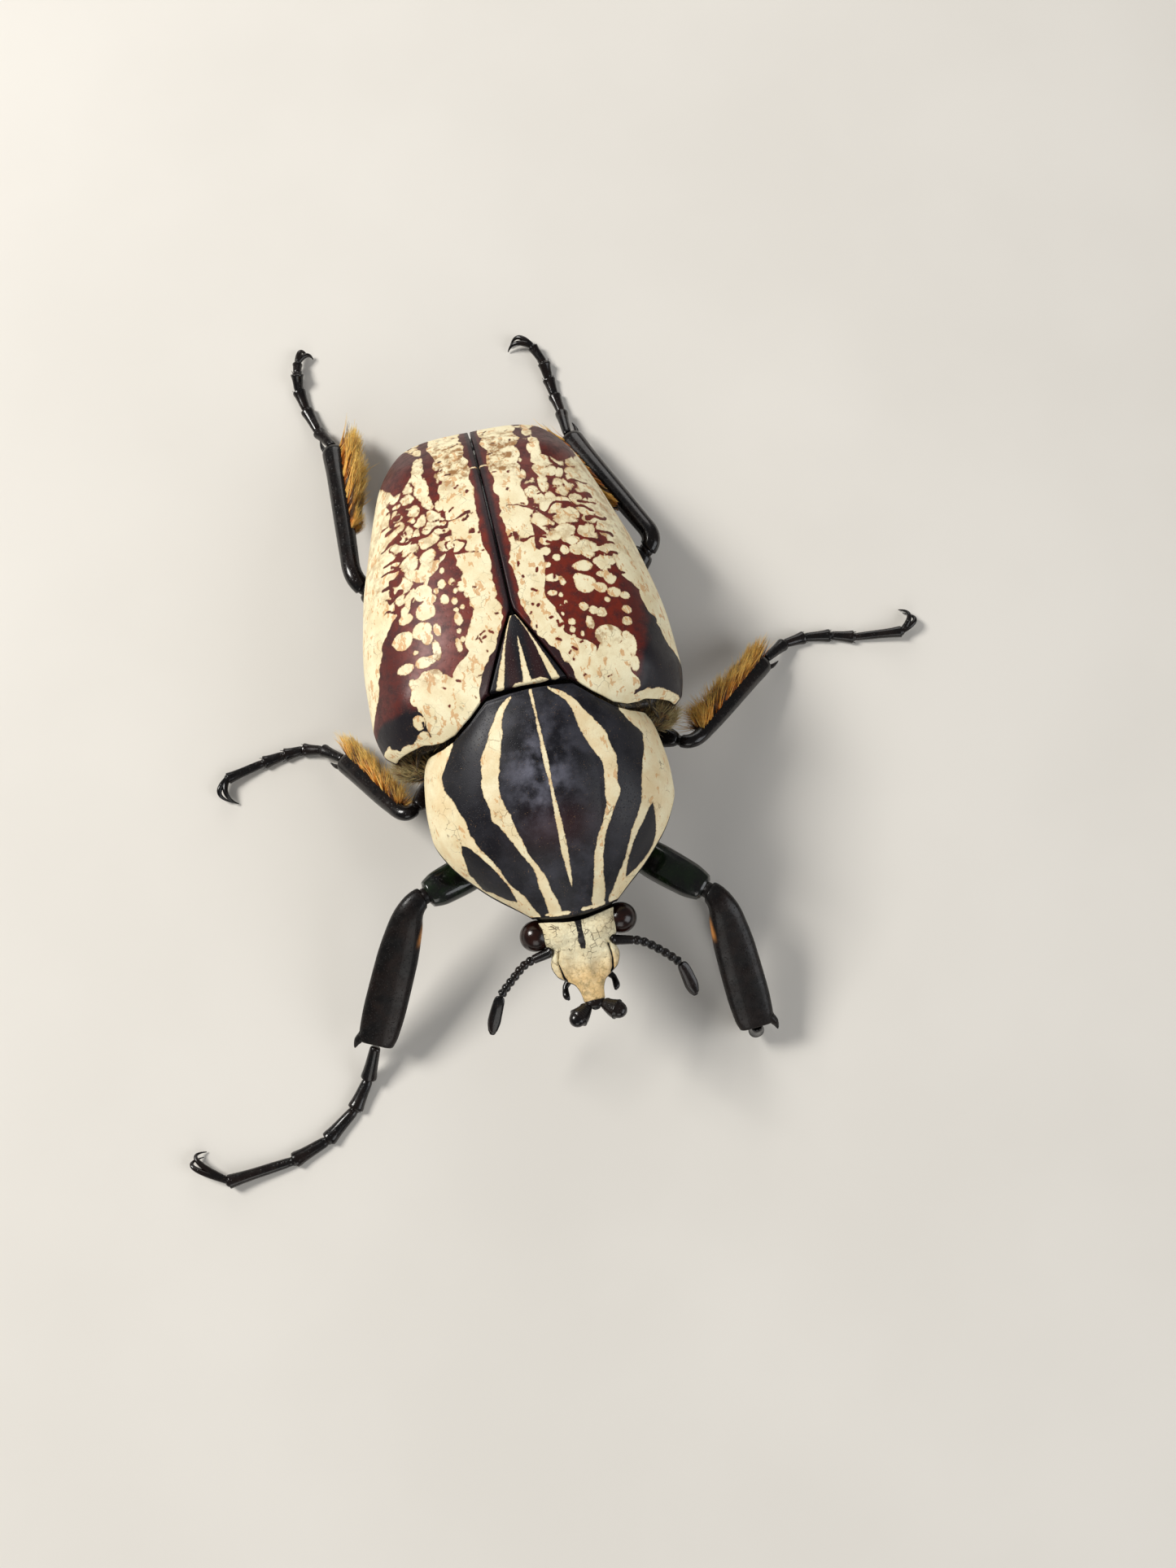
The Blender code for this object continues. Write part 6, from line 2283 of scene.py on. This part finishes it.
@dataclass(frozen=True)
class BristleCoat:
    """Bristles set on roots by Geometry Nodes."""

    thickness: float = 0.018
    bend: float = 0.22
    sides: int = 3
    segments: int = 3
    patch: float = 0.003

    def sizes(self) -> dict[str, float | int]:
        """The tree's named inputs, with this coat's values."""
        return {"Thickness": self.thickness, "Bend": self.bend, "Sides": self.sides,
                "Segments": self.segments}

    def tree(self, finish: Material, name: str) -> Tree:
        """The node tree that puts a tapered, bent bristle on each root.

        Args:
            finish: material of the piece.
            name: name of the tree.

        Returns:
            The node tree.
        """
        tree = bpy.data.node_groups.new(name, "GeometryNodeTree")
        tree.interface.new_socket("Geometry", in_out="INPUT", socket_type="NodeSocketGeometry")
        for title, value in self.sizes().items():
            kind = "NodeSocketInt" if isinstance(value, int) else "NodeSocketFloat"
            tree.interface.new_socket(title, in_out="INPUT", socket_type=kind)
        tree.interface.new_socket("Geometry", in_out="OUTPUT", socket_type="NodeSocketGeometry")
        g = Graph(tree)
        source, out = tree.nodes.new("NodeGroupInput"), tree.nodes.new("NodeGroupOutput")
        thick = source.outputs["Thickness"]
        cone = g.node("GeometryNodeMeshCone", {
            "Vertices": source.outputs["Sides"], "Side Segments": source.outputs["Segments"],
            "Radius Top": g.times(thick, 0.12), "Radius Bottom": thick, "Depth": 1.0})
        place = g.node("GeometryNodeInputPosition").outputs[0]
        parts = g.node("ShaderNodeSeparateXYZ", {0: place})
        up = parts.outputs["Z"]
        shift = g.node("ShaderNodeCombineXYZ", {"X": g.times(g.times(up, up), source.outputs["Bend"])})
        bent = g.node("GeometryNodeSetPosition",
                      {"Geometry": cone.outputs["Mesh"], "Offset": shift.outputs[0]})
        marked = self.stored(g, bent, "along", up, "FLOAT")
        width = g.math("DIVIDE", parts.outputs["X"], thick)
        spot = g.node("ShaderNodeCombineXYZ", {"X": g.times(width, self.patch / 2),
                                               "Y": g.times(up, self.patch)})
        marked = self.stored(g, marked, "spot", spot.outputs[0], "FLOAT_VECTOR")
        named = {title: g.node("GeometryNodeInputNamedAttribute", {"Name": title}, data_type=kind).outputs[0]
                 for title, kind in (("lie", "FLOAT_VECTOR"), ("curl", "FLOAT_VECTOR"), ("length", "FLOAT"),
                                     ("root", "FLOAT_VECTOR"), ("spot", "FLOAT_VECTOR"))}
        stand = g.node("FunctionNodeAlignRotationToVector", {"Vector": named["lie"]}, axis="Z")
        turn = g.node("FunctionNodeAlignRotationToVector",
                      {"Rotation": stand.outputs[0], "Vector": named["curl"]}, axis="X", pivot_axis="Z")
        placed = g.node("GeometryNodeInstanceOnPoints", {
            "Points": source.outputs["Geometry"], "Instance": marked.outputs[0], "Rotation": turn.outputs[0],
            "Scale": named["length"]})
        real = g.node("GeometryNodeRealizeInstances", {"Geometry": placed.outputs[0]})
        patch = g.vector("ADD", named["root"], named["spot"])
        mapped = self.stored(g, real, "OFBake", patch, "FLOAT2", "CORNER")
        dressed = g.node("GeometryNodeSetMaterial", {"Geometry": mapped.outputs[0], "Material": finish})
        g.put(out.inputs[0], dressed.outputs[0])
        return tree

    def stored(self, g: Graph, shape: Node, name: str, value: Socket, kind: str,
               domain: str = "POINT") -> Node:
        """A node that stores a value on a shape under a name."""
        inputs = {"Geometry": shape.outputs[0], "Name": name, "Value": value}
        return g.node("GeometryNodeStoreNamedAttribute", inputs, data_type=kind, domain=domain)

    def grow(self, name: str, roots: Roots, finish: Material, seed: int) -> Piece:
        """The bristles as one plain mesh piece.

        Args:
            name: name of the piece.
            roots: where the bristles stand.
            finish: material of the piece.
            seed: number that fixes what is random.

        Returns:
            The finished piece.
        """
        points = STANCE.from_ground(roots.place)
        base = bpy.data.meshes.new(f"{name}_roots")
        base.vertices.add(len(points))
        base.vertices.foreach_set("co", points.ravel())
        draw = np.random.default_rng(seed)
        for title, value in (("lie", roots.lie), ("curl", roots.curl)):
            base.attributes.new(title, "FLOAT_VECTOR", "POINT").data.foreach_set("vector", value.ravel())
        skin = np.concatenate([roots.skin, np.zeros((len(points), 1))], 1)
        base.attributes.new("root", "FLOAT_VECTOR", "POINT").data.foreach_set("vector", skin.ravel())
        base.attributes.new("length", "FLOAT", "POINT").data.foreach_set("value", roots.length * MM)
        own = np.clip(roots.tuft + draw.normal(0, 0.12, len(points)), 0, 1)
        base.attributes.new("own", "FLOAT", "POINT").data.foreach_set("value", own)
        holder = put_out(f"{name}_holder", base)
        grower = holder.modifiers.new("grow", "NODES")
        grower.node_group = self.tree(finish, f"{name}_tree")
        for socket in grower.node_group.interface.items_tree:
            if socket.in_out == "INPUT" and socket.name in self.sizes():
                grower[socket.identifier] = self.sizes()[socket.name]
        bpy.context.view_layer.update()
        mesh = bpy.data.meshes.new_from_object(holder.evaluated_get(bpy.context.evaluated_depsgraph_get()))
        mesh.name = name
        holder.modifiers.remove(grower)
        bpy.data.objects.remove(holder)
        mesh.shade_smooth()
        return make_piece(name, mesh, finish, ())


def sway(draw: np.random.Generator, count: int, amount: float) -> Array:
    """Small random directions."""
    return draw.normal(0, amount, (count, 3))


@dataclass(frozen=True)
class TibiaBrush:
    """Brush of golden bristles along the inner side of a mid or hind tibia."""

    count: int
    first: float
    last: float
    reach: Pairs
    lean: Pairs
    fan: tuple[float, float]

    def roots(self, leg: Leg, seed: int) -> Roots:
        """Roots along the tibia, in tufts.

        Args:
            leg: the leg.
            seed: number that fixes what is random.

        Returns:
            The roots.
        """
        draw = np.random.default_rng(seed)
        t = self.first + (self.last - self.first) * draw.uniform(0, 1, self.count)
        turn = np.radians(draw.uniform(*self.fan, self.count))
        wide, thick = limb_sizes(TIBIA[leg.kind], t)
        over = np.cross(leg.down, leg.inner)
        over = over if over[2] > 0 else -over
        outward = leg.inner * np.cos(turn)[:, None] + over * np.sin(turn)[:, None]
        axis = np.array(leg.knee) + np.subtract(leg.ankle, leg.knee) * t[:, None]
        place = axis + leg.inner * (wide * np.cos(turn) * 0.93)[:, None]
        place = place + over * (thick * np.sin(turn) * 0.93)[:, None]
        reach = np.linalg.norm(np.subtract(leg.ankle, leg.knee))
        tuft = np.clip(soft_noise(t * reach, turn * 1.2, 0.38, seed) * 0.75 + 0.5, 0, 1)
        clump = 0.75 * soft_noise(t * reach, turn * 1.2, 0.7, seed + 1)
        away = outward * 0.65 + leg.inner * 0.35
        lean = smooth_line(self.lean, t) + clump
        lie = away + leg.down * lean[:, None] + sway(draw, self.count, 0.10)
        length = smooth_line(self.reach, t) / np.clip(unit(lie) @ leg.inner, 0.45, 1)
        length = length * draw.uniform(0.55, 1.05, self.count) * (0.82 + 0.36 * tuft)
        length = length * (1 - 0.3 * np.abs(turn) / 1.6)
        curl = np.repeat(leg.down[None], self.count, 0) + sway(draw, self.count, 0.2)
        lie = unit(lie)
        room, drop = 0.75 * place[:, 2], np.maximum(-lie[:, 2], 0.0) * length
        length = np.where(drop > room, length * room / np.maximum(drop, 1e-6), length)
        skin = np.stack([0.05 + 0.9 * t, 0.5 + turn / (2 * math.pi)], -1)
        return Roots(place, lie, curl, length, skin, tuft)


@dataclass(frozen=True)
class BodyHair:
    """Short olive hair on the sides of the hind body and behind the shield."""

    seed: int = 11
    count: int = 5200
    length: tuple[float, float] = (0.7, 1.5)

    def roots(self, under: Underside, shell: Shell, shield: Shield) -> Roots:
        """Roots over the flanks and the front of the hind body.

        Args:
            under: the underside.
            shell: the shell plates.
            shield: the shield.

        Returns:
            The roots.
        """
        draw = np.random.default_rng(self.seed)
        n = self.count
        sign = np.where(draw.uniform(0, 1, n) < 0.5, -1, 1)
        flank = draw.uniform(0, 1, n) < 0.62
        u = np.where(flank, draw.uniform(0.86, 1.0, n), draw.uniform(0.3, 1.0, n)) * sign
        waist = under.waist(under.waist_half * u, shield)
        y = np.where(flank, draw.uniform(-1, 40, n), waist + draw.uniform(0.05, 2.0, n))
        y = np.maximum(y, waist + 0.05)
        low, high = under.core(u, y, False, shell), under.core(u, y, True, shell)
        rise = np.where(flank, draw.uniform(-0.2, 1.0, n), draw.uniform(0, 1, n))[:, None]
        place = low + (low - under.core(u * 0.92, y, False, shell)) * np.minimum(rise, 0) \
            + (high - low) * np.maximum(rise, 0) * 0.9
        place = np.where(flank[:, None], place, low * (1 - rise) + high * rise)
        out = np.where(flank[:, None], (1.0, 0.5, -0.35), (0.25, -1.0, 0.1))
        out[:, 0] *= sign
        lie = out + sway(draw, n, 0.3)
        lie = unit(lie)
        length = draw.uniform(*self.length, n)
        skin = np.stack([(y + 6) / 50, 0.5 + 0.45 * u], -1)
        lie = STANCE.over_ground(lie) - STANCE.over_ground(np.zeros((1, 3)))
        curl = np.repeat([[0, 1.0, -0.3]], n, 0) + sway(draw, n, 0.2)
        tuft = soft_noise(y, u * 20, 1.2, self.seed) * 0.5 + 0.5
        return Roots(STANCE.over_ground(place), lie, curl, length, skin, tuft)


@dataclass(frozen=True)
class ShoulderHair:
    """Olive hair over the plates between the shield's corners and the shell."""

    seed: int = 13
    count: int = 2800
    length: tuple[float, float] = (0.9, 1.9)

    def roots(self, under: Underside) -> Roots:
        """Roots over the upper side of both plates.

        Args:
            under: the underside.

        Returns:
            The roots.
        """
        draw = np.random.default_rng(self.seed)
        n = self.count
        sign = np.where(draw.uniform(0, 1, n) < 0.5, -1.0, 1.0)
        around, rise = draw.uniform(0, 2 * math.pi, n), draw.uniform(-0.25, 1.0, n)
        flat = np.sqrt(1 - rise ** 2)
        out = np.stack([flat * np.cos(around), flat * np.sin(around), rise], -1)
        mirror = np.stack([sign, np.ones(n), np.ones(n)], -1)
        place = (np.array(under.plate_centre) + 0.98 * out @ np.array(under.plate_axes)) * mirror
        lie = (0.45 * out + np.array((0.55, 0.35, 0.05))) * mirror + sway(draw, n, 0.22)
        lie = unit(lie)
        curl = np.repeat([[0.0, 1.0, -0.3]], n, 0) + sway(draw, n, 0.2)
        skin = np.stack([0.25 + 0.2 * out[:, 0] + 0.5 * (sign > 0), 0.5 + 0.4 * out[:, 1]], -1)
        tuft = soft_noise(place[:, 0], place[:, 1], 0.8, self.seed) * 0.5 + 0.5
        lie = STANCE.over_ground(lie) - STANCE.over_ground(np.zeros((1, 3)))
        return Roots(STANCE.over_ground(place), lie, curl, draw.uniform(*self.length, n), skin, tuft)


# Studio

@dataclass(frozen=True)
class Lamp:
    """A square area light that faces the beetle, its place and size in metres and its power in watts."""

    name: str
    place: Triple
    size: float
    power: float
    color: Triple


@dataclass
class Studio:
    """Pale floor, soft lights and the camera at the photo's place."""

    eye: Triple = (-7.06, -44.08, 239.95)
    look: Triple = (0.057, 0.1511, -0.9869)
    up: Triple = (0.2104, 0.9645, 0.1598)
    sensor: float = 36.0
    lens: float = 36.0 * 1949 / 1927
    near: float = 0.005
    far: float = 20.0
    floor_half: float = 3.0
    sky: Triple = (0.95, 0.97, 1.0)
    sky_strength: float = 0.16
    lamps: tuple[Lamp, ...] = (
        Lamp("key", (-0.42, 0.28, 0.50), 0.22, 5.1, (1.0, 0.98, 0.94)),
        Lamp("fill", (0.55, -0.35, 0.45), 0.5, 2.4, (0.95, 0.97, 1.0)),
        Lamp("front", (-0.10, -0.50, 0.30), 0.3, 0.6, (1.0, 0.98, 0.94)),
        Lamp("rim", (0.12, 0.6, 0.25), 0.3, 0.8, (1.0, 0.98, 0.95)))

    def floor(self) -> Piece:
        """The floor.

        Returns:
            The floor.
        """
        points = np.array([[-1, -1, 0], [1, -1, 0], [1, 1, 0], [-1, 1, 0]], float) * self.floor_half
        mesh = make_mesh("floor", points, [np.array([[0, 1, 2, 3]])])
        mesh.materials.append(FloorFinish().material())
        made = put_out("floor", mesh)
        return made

    def light(self, lamp: Lamp) -> None:
        """Puts up one lamp.

        Args:
            lamp: the lamp.
        """
        data = bpy.data.lights.new(lamp.name, "AREA")
        data.shape, data.size, data.energy, data.color = "SQUARE", lamp.size, lamp.power, lamp.color
        made = put_out(lamp.name, data)
        made.location = lamp.place
        made.rotation_euler = Vector(lamp.place).to_track_quat("Z", "Y").to_euler()

    def build(self) -> None:
        """Floor, lights, sky and camera."""
        self.floor()
        for lamp in self.lamps:
            self.light(lamp)
        world = bpy.data.worlds.new("studio")
        world.use_nodes = True
        sky = world.node_tree.nodes["Background"]
        sky.inputs["Color"].default_value = (*self.sky, 1)
        sky.inputs["Strength"].default_value = self.sky_strength
        bpy.context.scene.world = world
        bpy.context.scene.view_settings.view_transform = "Standard"
        bpy.context.scene.view_settings.look = "None"
        self.camera()

    def camera(self) -> None:
        """The camera of the photo."""
        lens = bpy.data.cameras.new("photo_camera")
        lens.sensor_fit = "AUTO"
        lens.sensor_width = self.sensor
        lens.lens = self.lens
        lens.clip_start, lens.clip_end = self.near, self.far
        made = put_out("photo_camera", lens)
        look = Vector(self.look).normalized()
        right = look.cross(Vector(self.up)).normalized()
        up = right.cross(look)
        turn = Matrix((right, up, -look)).transposed().to_4x4()
        place = STANCE.from_ground(np.array(self.eye))
        made.matrix_world = Matrix.Translation(Vector(place)) @ turn
        bpy.context.scene.camera = made


LEGS = (
    Leg("fore_right", hip=(-6.2, -15.8, 10.8), knee=(-22.3, -21.0, 14.5), ankle=(-32.1, -39.1, 4.4),
        toes=((-34.5, -43.7, 1.3), (-37.4, -47.6, 0.55), (-42.2, -51.1, 0.55), (-47.6, -52.9, 0.55),
              (-57.8, -53.8, 1.3)),
        claw=(-61.4, -50.2, 1.6), claw_tip=(-60.0, -49.2, 0.3)),
    Leg("fore_left", hip=(6.2, -15.8, 10.8), knee=(20.9, -29.6, 14.5), ankle=(22.9, -48.6, 5.4),
        toes=((23.0, -49.2, 2.5), (22.7, -46.4, 0.6), (22.3, -42.6, 0.55), (22.0, -39.0, 0.55),
              (21.7, -32.0, 1.3)),
        claw=(21.2, -28.6, 1.6), claw_tip=(20.9, -28.2, 0.3)),
    Leg("mid_right", hip=(-5.8, 3.4, 6.0), knee=(-20.6, -8.8, 14.0), ankle=(-28.5, 3.5, 3.8),
        toes=((-31.7, 6.2, 1.3), (-34.6, 7.0, 0.55), (-37.6, 6.8, 0.55), (-40.9, 6.3, 0.55),
              (-47.1, 4.8, 1.2)),
        claw=(-47.6, 2.7, 1.5), claw_tip=(-46.1, 1.1, 0.3)),
    Leg("mid_left", hip=(5.8, 3.4, 6.0), knee=(22.4, -6.8, 12.6), ankle=(37.1, 5.1, 3.8),
        toes=((41.2, 7.5, 1.3), (44.7, 8.0, 0.55), (48.8, 7.4, 0.55), (52.3, 6.4, 0.55), (60.2, 5.5, 1.2)),
        claw=(61.7, 7.3, 1.5), claw_tip=(60.5, 8.9, 0.3)),
    Leg("hind_right", hip=(-7.0, 13.2, 4.0), knee=(-21.4, 28.7, 10.8), ankle=(-20.7, 52.4, 3.8),
        toes=((-22.6, 56.3, 1.3), (-23.8, 60.6, 0.55), (-24.4, 64.0, 0.6), (-24.0, 66.3, 1.9),
              (-23.6, 68.5, 1.3)),
        claw=(-22.4, 69.7, 1.2), claw_tip=(-21.5, 69.1, 0.3)),
    Leg("hind_left", hip=(7.0, 13.2, 4.0), knee=(24.1, 25.0, 11.7), ankle=(15.5, 46.7, 3.8),
        toes=((15.5, 51.6, 1.3), (15.1, 54.9, 0.55), (14.8, 57.8, 0.55), (14.6, 60.4, 1.1),
              (13.2, 63.7, 1.3)),
        claw=(11.2, 64.8, 1.4), claw_tip=(9.7, 64.0, 0.3)),
)
FEELERS = {
    "right": ((-5.2, -32.4, 20.0, 0.72), (-7.9, -33.0, 19.6, 0.6), (-10.6, -34.9, 18.6, 0.58),
              (-12.6, -36.6, 17.6, 0.62), (-13.0, -37.4, 17.3, 0.85), (-14.1, -39.6, 16.1, 0.95),
              (-14.9, -41.5, 15.0, 0.45)),
    "left": ((4.95, -32.6, 20.0, 0.7), (7.8, -33.3, 19.5, 0.6), (10.8, -35.4, 18.4, 0.58),
             (13.0, -37.5, 17.2, 0.62), (13.3, -38.2, 16.8, 0.85), (13.9, -40.5, 15.6, 0.95),
             (14.3, -42.3, 14.5, 0.45)),
}
HIND_BRUSH = TibiaBrush(3600, first=0.33, last=0.97, reach=((0.3, 1.6), (0.5, 3.4), (0.8, 3.9), (0.96, 3.0)),
                        lean=((0.3, 0.8), (1, 1.1)), fan=(-40, 50))
BRUSHES = {
    "mid_right": TibiaBrush(2600, first=0.12, last=0.97, reach=((0.1, 2.2), (0.5, 2.8), (0.95, 2.4)),
                            lean=((0.1, 0.0), (0.4, 0.7), (1, 1.3)), fan=(-40, 70)),
    "mid_left": TibiaBrush(3200, first=0.12, last=0.97,
                           reach=((0.1, 2.6), (0.3, 3.3), (0.6, 2.4), (0.95, 2.2)),
                           lean=((0.1, -0.3), (0.3, 0.0), (0.5, 0.8), (1, 1.5)), fan=(-40, 80)),
    "hind_right": HIND_BRUSH,
    "hind_left": replace(HIND_BRUSH, count=3200),
}
ROOT_SEED = 200
COAT_SEED = 300


def main() -> None:
    """Builds every piece in order and sets the stage."""
    logging.basicConfig(level=logging.INFO, format="%(name)s %(message)s")
    gloss = CuticleFinish("gloss_cuticle").material()
    dull = CuticleFinish("dull_cuticle", rough=0.38, pits=1.6, depth=0.05, dust=0.8, coat=0.15,
                         tinge=(0.05, 0.035, 0.018)).material()
    pitted = CuticleFinish("pitted_cuticle", rough=0.34, pits=2.6, depth=0.11, dust=0.3, coat=0.08).material()
    green = CuticleFinish("green_cuticle", tinge=(0.006, 0.015, 0.004), rough=0.2, coat=0.7).material()
    shell, small, shield = Shell(), SmallShield(), Shield()
    shield.build()
    small.build(shell)
    shell.build(shield, small)
    under = Underside()
    under.build(shell, shield, gloss, dull)
    head = Head()
    head.build()
    Horn().build(gloss)
    Mouthparts().build(head, gloss)
    for side, stations in FEELERS.items():
        Antenna(stations).build(side, gloss)
    maker = LegMaker(gloss, pitted, green)
    golden = BristleFinish("golden_bristles", root=(0.52, 0.12, 0.006), middle=(0.84, 0.34, 0.025),
                           tip=(1.0, 0.68, 0.16)).material()
    olive = BristleFinish("olive_hair", root=(0.08, 0.055, 0.02), middle=(0.28, 0.20, 0.07),
                          tip=(0.50, 0.40, 0.18)).material()
    for number, leg in enumerate(LEGS):
        maker.build(leg)
        if leg.name in BRUSHES:
            roots = BRUSHES[leg.name].roots(leg, ROOT_SEED + number)
            BristleCoat().grow(f"brush_{leg.name}", roots, golden, COAT_SEED + number)
    fur, flank, shoulder = BristleCoat(thickness=0.03), BodyHair(), ShoulderHair()
    fur.grow("flank_hair", flank.roots(under, shell, shield), olive, flank.seed + 1)
    fur.grow("shoulder_hair", shoulder.roots(under), olive, shoulder.seed + 1)
    Studio().build()


if __name__ == "__main__":
    main()
